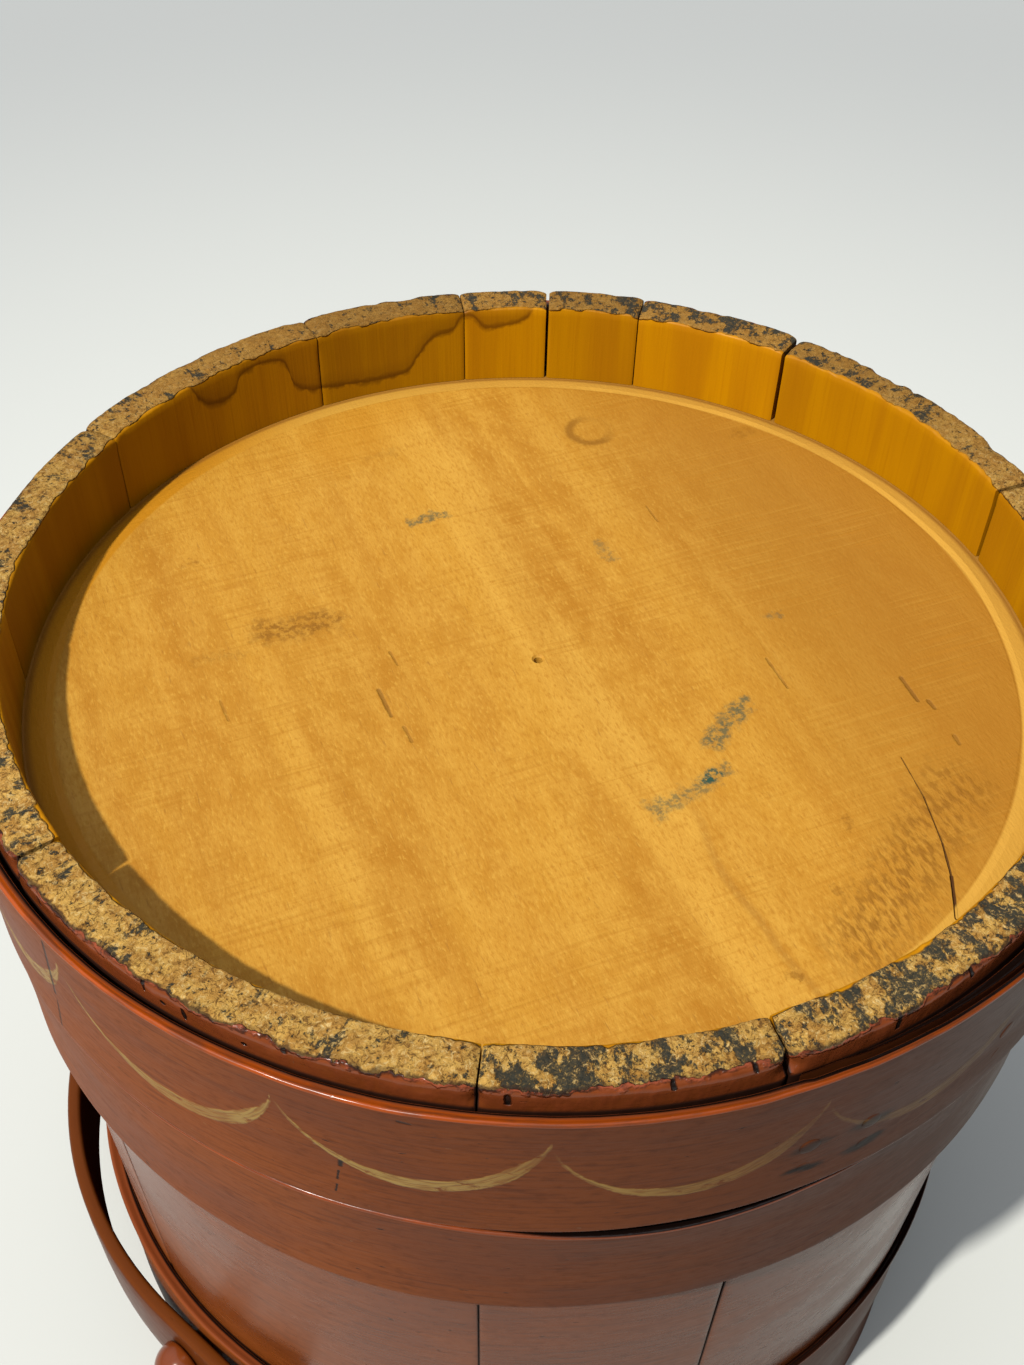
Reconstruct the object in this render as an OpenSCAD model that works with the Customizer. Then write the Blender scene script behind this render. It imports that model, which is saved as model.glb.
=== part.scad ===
// Staved bucket with a lift-off lid and a bentwood bail, standing upside down on its lid.
// Sizes are in millimetres. The lid's outer face lies on z = 0 and the foot ring is on top.
// The bail's pivots lie along X, and the bail lies down towards +Y with its bow on the floor.

/* [Staves] */
// Outside diameter of the staves at the foot
foot_d = 254; // [212:1:310]
// Outside diameter of the staves at the mouth
mouth_d = 223; // [180:1:270]
// Length of the staves from mouth to foot
stave_len = 222; // [180:1:280]
// Thickness of the staves
stave_t = 10; // [8:0.5:13]
// Width of the open joint between two staves
joint_gap = 0.2; // [0.1:0.05:0.6]

/* [Bottom board] */
// Depth of the bottom board's outer face below the foot ring
bottom_depth = 19.5; // [12:0.5:30]
// Thickness of the bottom board
bottom_t = 12; // [9:0.5:16]
// Thickness of the board's thinned edge, which sits in the groove
bottom_edge_t = 6; // [4:0.5:8]
// Width of the bevel round the board's outer face
bottom_bevel_w = 6.5; // [3:0.5:12]
// Depth of the groove in the staves
groove_depth = 4; // [2:0.5:5]
// Play of the board's edge in the groove, on each side
groove_fit = 0.1; // [0.05:0.05:0.4]
// Diameter of the small hole left by the turning centre
centre_hole_d = 2; // [1:0.5:4]
// Depth of that hole
centre_hole_depth = 5; // [2:0.5:8]

/* [Hoops] */
// Thickness of the hoops
hoop_t = 3.6; // [2:0.2:5]
// Play between a hoop and the staves
hoop_fit = 0.1; // [0.05:0.05:0.4]
// Bare stave left between the foot ring and the first hoop
chime = 5.5; // [3:0.5:15]
// Width of the foot hoop
foot_hoop_w = 41; // [25:1:50]
// Width of the second hoop
second_hoop_w = 34.5; // [25:0.5:45]
// Gap between the foot hoop and the second hoop
hoop_gap = 0.3; // [0.1:0.1:4]
// Width of the mouth hoop
mouth_hoop_w = 34; // [26:1:44]
// How far a hoop's lapped end stands above the hoop
lap_rise = 1.8; // [1:0.1:3]
// Angle over which the lap rises
lap_span = 36; // [24:1:60]

/* [Tacks] */
// Diameter of a tack's head
tack_head_d = 5; // [3:0.5:8]
// Thickness of a tack's head
tack_head_t = 0.8; // [0.5:0.1:1.5]
// Diameter of a tack's shank
tack_d = 1.8; // [1.2:0.1:2.6]
// Length of a tack's shank under its head
tack_len = 11; // [9:0.5:13]
// Play round a tack's shank
tack_fit = 0.05; // [0.02:0.01:0.15]

/* [Bail] */
// Width of the bail's strip
bail_w = 22; // [16:0.5:26]
// Thickness of the bail's strip
bail_t = 4; // [3:0.5:8]
// Gap between the bail's arms and the mouth hoop, at the hoop's top edge
bail_gap = 0.3; // [0.3:0.1:5]
// How far the bow reaches past a half circle
bail_rise = 32; // [24:1:60]
// Straight length of each arm from its pivot
bail_leg = 8; // [8:1:20]
// Straight length of each arm past its pivot, before the round end
bail_tail = 20; // [0:1:24]
// How much tighter the bow's crown is than half the span
bow_shoulder = 44; // [10:1:60]

/* [Pivot pegs] */
// Diameter of a peg's shank
peg_d = 9; // [7:0.5:11]
// Play of the bail's hole round the shank
pivot_fit = 0.08; // [0.02:0.01:0.1]
// Play of the peg in the hoop and the stave
peg_fit = 0.05; // [0.02:0.01:0.1]
// Gap between the knob and the bail
knob_gap = 0.4; // [0.3:0.1:1]
// Diameter of the knob
knob_d = 14.5; // [12:0.5:18]
// Length of the knob's straight base
knob_base = 2; // [1:0.5:5]
// How far the shank stands out inside the bucket
peg_end = 3; // [1:0.5:6]
// Length of the wedge in the peg's end
wedge_len = 8; // [5:0.5:10]
// Thickness of the wedge at its head
wedge_t = 1.8; // [1.2:0.1:2.4]
// Thickness of the wedge at its tip
wedge_tip_t = 0.8; // [0.4:0.1:1]

/* [Lid] */
// Thickness of the lid's board
lid_board_t = 10; // [8:0.5:14]
// Width of the lid's bent rim
lid_rim_w = 27; // [22:0.5:36]
// Thickness of the lid's rim
lid_rim_t = 2.8; // [2:0.2:4]
// Depth of the step in the staves that the rim slips over
mouth_step = 2; // [1:0.5:4]
// Play of the rim round the staves
lid_fit = 0.5; // [0.3:0.1:1.2]
// Gap between the rim and the mouth hoop
lid_gap = 1; // [0.5:0.5:4]
// Play between the lid's board and its rim
lid_board_fit = 0.1; // [0.05:0.05:0.3]
// Number of tacks that hold the rim to the board
lid_tacks = 10; // [6:2:16]
// How far the rim's lapped end stands above the rim
lid_lap_rise = 1.2; // [0.6:0.1:2]

/* [Hidden] */
$fn = 96;
PAINT = "#8f3f24";
BARE = "#cf9a45";
IRON = "#3b3430";
OVERCUT = 1;

// Azimuth of each joint between staves, counted from the right-hand pivot
SEAM_AZ = [11, 31, 43, 54, 74, 106, 138, 172, 219, 244, 290, 335];
STAVES = len(SEAM_AZ);

// Heights
mouth_z = lid_board_t;
foot_z = mouth_z + stave_len;
step_z = lid_rim_w + lid_gap;
mouth_hoop_z = step_z;
foot_hoop_z = foot_z - chime - foot_hoop_w;
second_hoop_z = foot_hoop_z - hoop_gap - second_hoop_w;
pivot_z = mouth_hoop_z + mouth_hoop_w / 2;
bottom_top_z = foot_z - bottom_depth;
edge_drop = (bottom_t - bottom_edge_t) / 3;
groove_top_z = bottom_top_z - edge_drop + groove_fit;
groove_low_z = bottom_top_z - edge_drop - bottom_edge_t - groove_fit;

// The staves' cone
foot_r = foot_d / 2;
mouth_r = mouth_d / 2;
cone_slope = (foot_r - mouth_r) / stave_len;
cone_tilt = atan(cone_slope);
groove_r = cone_r(groove_low_z) - stave_t + groove_depth;
joint_angle = joint_gap / foot_r * 180 / PI;

// The lid
lid_bore_r = cone_r(step_z) - mouth_step + lid_fit;

// The bail's arch: two side arcs and a tighter crown, all tangent
bail_half = cone_r(mouth_hoop_z + mouth_hoop_w) + hoop_fit + hoop_t + bail_gap;
bail_reach = bail_half + bail_rise;
crown_r = bail_half - bow_shoulder;
crown_v = bail_reach - crown_r;
crown_lift = crown_v - bail_leg;
side_r = (bail_half ^ 2 + crown_lift ^ 2 - crown_r ^ 2) / (2 * bow_shoulder);
side_c = side_r - bail_half;
bow_out = bail_reach + bail_t;
bail_tilt = asin(pivot_z / norm([bow_out, bail_w / 2])) - atan(bail_w / 2 / bow_out);

// Along a peg, from the bucket's axis outwards
peg_in_x = cone_r(pivot_z) - stave_t - peg_end;
knob_x = bail_half + bail_t + knob_gap;

// Azimuth of each band's lapped end
FOOT_LAP = 275;
SECOND_LAP = 122;
MOUTH_LAP = 108;
LID_LAP = 100;

// Tacks of a lap: angle before the lapped end, and share of the band's width
LAP_TACKS = [for (back = [6, 22, 28], row = [0.2, 0.4]) [back, row]];

function stave_name(i) = str("stave_", i < 9 ? "0" : "", i + 1);

// Outer radius of the staves at a height
function cone_r(z) = mouth_r + cone_slope * (z - mouth_z);

// Turning-off of a lap's centre that lifts its end by the given rise
function lap_shift(rise) = rise / (1 - cos(lap_span));

// Radius of a lapped band's outside, at an angle before the lapped end
function lap_r(r_out, rise, back) =
    let (shift = lap_shift(rise), r = r_out + rise - shift)
    back >= 0 && back < lap_span
        ? max(r_out, shift * cos(back) + sqrt(r ^ 2 - (shift * sin(back)) ^ 2))
        : r_out;

// Azimuth, height and seat radius of the tacks in a hoop's lap
function hoop_tack_places(z, w, lap_az) = [
    for (t = LAP_TACKS)
        let (tack_z = z + w * t[1], r_out = cone_r(tack_z) + hoop_fit + hoop_t)
        [lap_az - t[0], tack_z, lap_r(r_out, lap_rise, t[0])]];

foot_tacks = hoop_tack_places(foot_hoop_z, foot_hoop_w, FOOT_LAP);
second_tacks = hoop_tack_places(second_hoop_z, second_hoop_w, SECOND_LAP);
mouth_tacks = hoop_tack_places(mouth_hoop_z, mouth_hoop_w, MOUTH_LAP);
rim_tacks = [
    for (i = [0 : lid_tacks - 1])
        let (az = (i + 0.5) * 360 / lid_tacks)
        [az, lid_board_t / 2, lap_r(lid_bore_r + lid_rim_t, lid_lap_rise, LID_LAP - az)]];

// A tack along +Z, seated with its head's underside on z = 0
module tack() {
    cylinder(h = tack_head_t, d1 = tack_head_d, d2 = tack_head_d * 0.6);
    translate([0, 0, -tack_len]) cylinder(h = tack_len + tack_head_t / 2, d = tack_d);
}

module tack_hole() {
    hole_d = tack_d + 2 * tack_fit;
    translate([0, 0, -tack_len - tack_fit]) cylinder(h = tack_len + hoop_t + OVERCUT, d = hole_d);
}

// Puts its child on a band, pointing out of a wall that leans by tilt
module on_band(place, tilt) {
    rotate([0, 0, place[0]])
        translate([place[2], 0, place[1]])
            rotate([0, 90 + tilt, 0])
                translate([0, 0, tack_fit]) children();
}

// The part of space between two azimuths, less than a half turn apart
module sector(from_az, to_az, z, h) {
    far = 2 * foot_r;
    translate([0, 0, z])
        linear_extrude(height = h)
            polygon([[0, 0], far * [cos(from_az), sin(from_az)], far * [cos(to_az), sin(to_az)]]);
}

// A bent strip round the bucket, whose lapped end rises on an arc of its own
module lapped_band(z, w, r_low, r_high, thick, rise, lap_az) {
    shift = lap_shift(rise);
    lift = thick + rise - shift;
    lean = (r_high - r_low) / w;
    difference() {
        union() {
            translate([0, 0, z]) cylinder(h = w, r1 = r_low + thick, r2 = r_high + thick);
            intersection() {
                translate([shift * cos(lap_az), shift * sin(lap_az), z])
                    cylinder(h = w, r1 = r_low + lift, r2 = r_high + lift);
                sector(lap_az - lap_span, lap_az, z - OVERCUT, w + 2 * OVERCUT);
            }
        }
        translate([0, 0, z - OVERCUT])
            cylinder(h = w + 2 * OVERCUT, r1 = r_low - OVERCUT * lean, r2 = r_high + OVERCUT * lean);
    }
}

module hoop(z, w, lap_az, places) {
    difference() {
        lapped_band(z, w, cone_r(z) + hoop_fit, cone_r(z + w) + hoop_fit, hoop_t, lap_rise, lap_az);
        for (place = places) on_band(place, cone_tilt) tack_hole();
    }
}

// A cylinder along X through both pivots' walls
module pivot_bore(d) {
    translate([0, 0, pivot_z])
        rotate([0, 90, 0])
            cylinder(h = 4 * foot_r, d = d, center = true);
}

module stave_profile() {
    polygon([
        [foot_r, foot_z],
        [foot_r - stave_t, foot_z],
        [cone_r(groove_top_z) - stave_t, groove_top_z],
        [groove_r, groove_top_z],
        [groove_r, groove_low_z],
        [cone_r(groove_low_z) - stave_t, groove_low_z],
        [mouth_r - stave_t, mouth_z],
        [mouth_r - mouth_step, mouth_z],
        [cone_r(step_z) - mouth_step, step_z],
        [cone_r(step_z), step_z]]);
}

module stave(i) {
    from_az = SEAM_AZ[i];
    to_az = i + 1 < STAVES ? SEAM_AZ[i + 1] : SEAM_AZ[0] + 360;
    color(PAINT)
    difference() {
        rotate([0, 0, from_az + joint_angle / 2])
            rotate_extrude(angle = to_az - from_az - joint_angle) stave_profile();
        for (place = concat(foot_tacks, second_tacks, mouth_tacks))
            if (place[0] > from_az && place[0] < to_az) on_band(place, cone_tilt) tack_hole();
        for (pivot_az = [180, 360])
            if (pivot_az > from_az && pivot_az < to_az)
                intersection() {
                    pivot_bore(peg_d + 2 * peg_fit);
                    sector(from_az, to_az, 0, foot_z);
                }
    }
}

module bottom_board() {
    edge_r = groove_r - groove_fit;
    wall_r = cone_r(groove_low_z) - stave_t - groove_fit;
    face_r = wall_r - bottom_bevel_w;
    edge_top = bottom_top_z - edge_drop;
    edge_low = edge_top - bottom_edge_t;
    color(BARE)
    difference() {
        rotate_extrude()
            polygon([
                [0, bottom_top_z],
                [face_r, bottom_top_z],
                [wall_r, edge_top],
                [edge_r, edge_top],
                [edge_r, edge_low],
                [wall_r, edge_low],
                [face_r, bottom_top_z - bottom_t],
                [0, bottom_top_z - bottom_t]]);
        translate([0, 0, bottom_top_z - centre_hole_depth])
            cylinder(h = centre_hole_depth + OVERCUT, d = centre_hole_d);
    }
}

module foot_hoop() { color(PAINT) hoop(foot_hoop_z, foot_hoop_w, FOOT_LAP, foot_tacks); }

module second_hoop() { color(PAINT) hoop(second_hoop_z, second_hoop_w, SECOND_LAP, second_tacks); }

module mouth_hoop() {
    color(PAINT)
    difference() {
        hoop(mouth_hoop_z, mouth_hoop_w, MOUTH_LAP, mouth_tacks);
        pivot_bore(peg_d + 2 * peg_fit);
    }
}

module hoop_tacks(places) {
    color(IRON) for (place = places) on_band(place, cone_tilt) tack();
}

// The space inside the bail's arch, grown outwards; its pivots lie on the first axis
module arch(grow) {
    tangent_v = bail_leg + (side_r + grow) * crown_lift / (side_r - crown_r);
    far = 2 * bail_reach;
    intersection() {
        translate([-far, bail_leg]) square([2 * far, far]);
        union() {
            translate([0, crown_v]) circle(r = crown_r + grow);
            intersection() {
                translate([-side_c, bail_leg]) circle(r = side_r + grow);
                translate([side_c, bail_leg]) circle(r = side_r + grow);
                translate([-far, bail_leg]) square([2 * far, tangent_v - bail_leg]);
            }
        }
    }
}

// One arm's straight length and its round end, on the side given by +1 or -1
module bail_arm(side) {
    mid_u = side * (bail_half + bail_t / 2);
    translate([mid_u, -bail_tail, 0]) rotate([0, 90, 0]) cylinder(h = bail_t, d = bail_w, center = true);
    translate([mid_u - bail_t / 2, -bail_tail, -bail_w / 2]) cube([bail_t, bail_tail + bail_leg, bail_w]);
}

module bail() {
    color(PAINT)
    translate([0, 0, pivot_z])
        rotate([-bail_tilt, 0, 0])
            difference() {
                union() {
                    linear_extrude(height = bail_w, center = true)
                        difference() {
                            arch(bail_t);
                            arch(0);
                        }
                    bail_arm(1);
                    bail_arm(-1);
                }
                rotate([0, 90, 0])
                    cylinder(h = 4 * foot_r, d = peg_d + 2 * pivot_fit, center = true);
            }
}

// The wedge's side outline along +X, grown by a clearance
module wedge_outline(grow) {
    polygon([
        [peg_in_x, -wedge_t / 2 - grow],
        [peg_in_x + wedge_len + grow, -wedge_tip_t / 2 - grow],
        [peg_in_x + wedge_len + grow, wedge_tip_t / 2 + grow],
        [peg_in_x, wedge_t / 2 + grow]]);
}

// A plate of that outline across the peg, in the bail pivot's height
module wedge_plate(grow, across) {
    translate([0, 0, pivot_z])
        rotate([90, 0, 0])
            linear_extrude(height = across, center = true) wedge_outline(grow);
}

module peg() {
    color(PAINT)
    difference() {
        translate([0, 0, pivot_z])
            rotate([0, 90, 0]) {
                translate([0, 0, peg_in_x]) cylinder(h = knob_x - peg_in_x + OVERCUT, d = peg_d);
                translate([0, 0, knob_x]) cylinder(h = knob_base, d = knob_d);
                intersection() {
                    translate([0, 0, knob_x + knob_base]) sphere(d = knob_d);
                    translate([0, 0, knob_x]) cylinder(h = knob_d + knob_base, d = knob_d + OVERCUT);
                }
            }
        wedge_plate(peg_fit, knob_d);
        translate([0, 0, pivot_z])
            cube([2 * peg_in_x, knob_d, knob_d], center = true);
    }
}

module wedge() {
    across = 0.95 * sqrt(peg_d ^ 2 - wedge_t ^ 2);
    color(BARE) wedge_plate(0, across);
}

module right_peg() { peg(); }

module left_peg() { mirror([1, 0, 0]) peg(); }

module right_wedge() { wedge(); }

module left_wedge() { mirror([1, 0, 0]) wedge(); }

module lid_board() {
    color(PAINT)
    difference() {
        cylinder(h = lid_board_t, r = lid_bore_r - lid_board_fit);
        for (place = rim_tacks) on_band(place, 0) tack_hole();
    }
}

module lid_rim() {
    color(PAINT)
    difference() {
        lapped_band(0, lid_rim_w, lid_bore_r, lid_bore_r, lid_rim_t, lid_lap_rise, LID_LAP);
        for (place = rim_tacks) on_band(place, 0) tack_hole();
    }
}

module lid_rim_tacks() {
    color(IRON) for (place = rim_tacks) on_band(place, 0) tack();
}

for (i = [0 : STAVES - 1])
    stave(i);
bottom_board();
foot_hoop();
second_hoop();
mouth_hoop();
hoop_tacks(foot_tacks);  // foot_hoop_tacks
hoop_tacks(second_tacks);  // second_hoop_tacks
hoop_tacks(mouth_tacks);  // mouth_hoop_tacks
bail();
left_peg();
right_peg();
left_wedge();
right_wedge();
lid_board();
lid_rim();
lid_rim_tacks();
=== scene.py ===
"""Looks of a staved wooden bucket that stands upside down on its lid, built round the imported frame.

Lengths are in millimetres and angles in degrees. Points become metres where a mesh is made.
"""

import math

import bmesh
import bpy
import numpy as np
from mathutils import Matrix, Vector


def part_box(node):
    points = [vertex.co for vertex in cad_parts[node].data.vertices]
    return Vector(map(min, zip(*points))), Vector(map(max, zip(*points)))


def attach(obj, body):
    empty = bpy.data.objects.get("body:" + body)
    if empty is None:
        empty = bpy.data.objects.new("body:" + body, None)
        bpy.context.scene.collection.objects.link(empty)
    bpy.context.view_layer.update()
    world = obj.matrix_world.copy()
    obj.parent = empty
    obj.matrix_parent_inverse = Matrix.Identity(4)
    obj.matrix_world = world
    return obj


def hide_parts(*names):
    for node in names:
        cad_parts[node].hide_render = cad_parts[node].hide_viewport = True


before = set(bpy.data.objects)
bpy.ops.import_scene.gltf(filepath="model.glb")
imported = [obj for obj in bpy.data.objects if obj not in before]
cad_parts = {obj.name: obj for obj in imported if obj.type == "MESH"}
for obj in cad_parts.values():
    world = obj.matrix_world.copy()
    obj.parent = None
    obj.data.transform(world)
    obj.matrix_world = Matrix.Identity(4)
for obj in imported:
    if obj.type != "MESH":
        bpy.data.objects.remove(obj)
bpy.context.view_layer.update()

MM = 0.001
rng = np.random.default_rng(7)


# Sizes taken from the frame

def radii_at(node, z):
    """Least and greatest distance from the axis of a CAD node's points at a height."""
    points = np.array([v.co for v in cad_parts[node].data.vertices]) / MM
    level = points[np.abs(points[:, 2] - z) < 0.02]
    reach = np.hypot(level[:, 0], level[:, 1])
    return reach.min(), reach.max()


def heights(node):
    low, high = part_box(node)
    return low.z / MM, high.z / MM


mouth_z, foot_z = heights("stave_05")
step_z, mouth_hoop_top = heights("mouth_hoop")
second_hoop_low, second_hoop_top = heights("second_hoop")
foot_hoop_low, foot_hoop_top = heights("foot_hoop")
board_low, board_top = heights("bottom_board")
lid_board_low, lid_board_top = heights("lid_board")
lid_rim_low, lid_rim_top = heights("lid_rim")

foot_inner, foot_r = radii_at("stave_05", foot_z)
step_inner, step_r = radii_at("stave_05", step_z)
mouth_outer = radii_at("stave_05", mouth_z)[1]
cone_slope = (foot_r - step_r) / (foot_z - step_z)
stave_t = foot_r - foot_inner
face_r = radii_at("bottom_board", board_top)[1]
lid_bore_r = radii_at("lid_rim", lid_rim_top)[0]
lid_board_r = radii_at("lid_board", lid_board_top)[1]
pivot_z = (step_z + mouth_hoop_top) / 2

# Length of a degree round the foot
ARC = math.radians(foot_r)

# Sizes that repeat the CAD source

HOOP_T = 3.6
HOOP_FIT = 0.1
LAP_RISE = 1.8
LAP_SPAN = 36
LID_RIM_T = 2.8
LID_LAP_RISE = 1.2
FOOT_LAP = 275
SECOND_LAP = 122
MOUTH_LAP = 108
LID_LAP = 100
LAP_TACKS = [(back, row) for back in (6, 22, 28) for row in (0.2, 0.4)]
LID_TACKS = 10
BOARD_EDGE_DROP = 2
BOARD_EDGE_T = 6
GROOVE_DEPTH = 4
BAIL_W = 22
BAIL_T = 4
BAIL_GAP = 0.3
BAIL_RISE = 32
BAIL_LEG = 8
BAIL_TAIL = 20
BOW_SHOULDER = 44
PEG_R = 4.5
PEG_END = 3
KNOB_R = 7.25
KNOB_BASE = 2
KNOB_GAP = 0.4

# Each joint between staves: azimuth, how far it stands open at the foot, and how deep the corners beside it
# are broken out above the foot hoop. The last is the first again, a full turn on.
SEAMS = [
    (11, 1.3, 1.0), (31, 0.35, 0.4), (43, 0.8, 0.6), (54, 0.3, 0.4), (74, 0.35, 0.4), (106, 0.4, 0.5),
    (138, 0.4, 0.5), (172, 0.9, 1.2), (219, 0.4, 1.0), (244, 0.9, 3.2), (290, 0.5, 0.6), (335, 1.2, 1.0),
    (371, 1.3, 1.0),
]


def cone_r(z):
    """Radius of the staves' outside at a height."""
    return foot_r + cone_slope * (z - foot_z)


def hoop_bore(z):
    return cone_r(z) + HOOP_FIT


def smooth_step(low, high, x):
    t = np.clip((x - low) / (high - low), 0, 1)
    return t * t * (3 - 2 * t)


def bumps(base, *swells):
    """A function of azimuth: base, with swells given as (height, middle, spread)."""
    def at(az):
        total = base + 0 * az
        for height, middle, spread in swells:
            away = (az - middle + 180) % 360 - 180
            total = total + height * np.exp(-(away / spread) ** 2)
        return total
    return at


NOISE_CELLS = 32


def soft_noise(points, size, seed):
    """Smooth noise between -1 and 1 at points, with bumps about size across."""
    table = np.random.default_rng(seed).uniform(-1, 1, (NOISE_CELLS,) * 3)
    cell = np.asarray(points) / size
    base = np.floor(cell).astype(int)
    part = cell - base
    part = part * part * (3 - 2 * part)
    total = np.zeros(cell.shape[:-1])
    for corner_of_cell in np.ndindex(2, 2, 2):
        index = (base + corner_of_cell) % NOISE_CELLS
        weight = np.prod(np.where(np.array(corner_of_cell) == 1, part, 1 - part), axis=-1)
        total += weight * table[index[..., 0], index[..., 1], index[..., 2]]
    return total


# Mesh making

def round_points(radius, az, z):
    az, radius, z = np.broadcast_arrays(np.radians(az), radius, z)
    return np.stack([radius * np.cos(az), radius * np.sin(az), z], axis=-1)


def stacked(*values):
    """Vectors from three arrays that broadcast together."""
    return np.stack(np.broadcast_arrays(*values), -1)


def turned(section, steps):
    """Angle and the two coordinates of a section turned full circle, as arrays."""
    az = np.linspace(0, 360, steps + 1)[:-1][:, None]
    first, second = np.array(section).T[:, None, :] + 0 * az
    return az, first, second


def lathe(section, steps):
    """Points of a shape turned about X, from (x, radius) pairs."""
    az, x, radius = turned(section, steps)
    return round_points(radius, az, x)[..., [2, 0, 1]]


def corner(centre, radius, from_deg, to_deg, steps):
    """Points of a rounded corner, as (across, up) pairs."""
    turn = np.radians(np.linspace(from_deg, to_deg, steps))
    return [(centre[0] + radius * math.cos(t), centre[1] + radius * math.sin(t)) for t in turn]


def grid_faces(points, full_turn=False):
    """Quads between closed sections along a capped sweep, or between open ones round a full turn."""
    rows, columns = points.shape[:2]
    row = np.arange(rows if full_turn else rows - 1)
    column = np.arange(columns - 1 if full_turn else columns)
    a, b = np.meshgrid(row, column, indexing="ij")
    a_next = (a + 1) % rows
    b_next = (b + 1) % columns
    corners = [a * columns + b, a_next * columns + b, a_next * columns + b_next, a * columns + b_next]
    faces = np.stack(corners, -1).reshape(-1, 4).tolist()
    if not full_turn:
        faces.append(list(range(columns - 1, -1, -1)))
        faces.append(list(range((rows - 1) * columns, rows * columns)))
    return faces


def sweep_slots(points, edge_slots, cap_slot=0):
    """Material slots of a sweep's faces, from one slot for each edge of its section."""
    return np.append(np.tile(edge_slots, len(points) - 1), [cap_slot, cap_slot]).astype(np.int32)


def finish_piece(name, points, faces, attributes, body, node, materials, sharp=38, face_slots=None):
    """Makes the object, checks its normals, and ties it to the frame."""
    mesh = bpy.data.meshes.new(name)
    mesh.from_pydata((points.reshape(-1, 3) * MM).tolist(), [], faces)
    for material in materials:
        mesh.materials.append(material)
    if face_slots is not None:
        mesh.polygons.foreach_set("material_index", face_slots)
    for key, values in attributes.items():
        is_vector = values.size == points.size
        layer = mesh.attributes.new(key, "FLOAT_VECTOR" if is_vector else "FLOAT", "POINT")
        layer.data.foreach_set("vector" if is_vector else "value", values.reshape(-1))
    work = bmesh.new()
    work.from_mesh(mesh)
    bmesh.ops.remove_doubles(work, verts=work.verts, dist=1e-7)
    bmesh.ops.recalc_face_normals(work, faces=work.faces)
    work.to_mesh(mesh)
    work.free()
    mesh.shade_smooth()
    mesh.set_sharp_from_angle(angle=math.radians(sharp))
    piece = bpy.data.objects.new(name, mesh)
    bpy.context.scene.collection.objects.link(piece)
    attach(piece, body)
    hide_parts(node)
    return piece


# Materials

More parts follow.
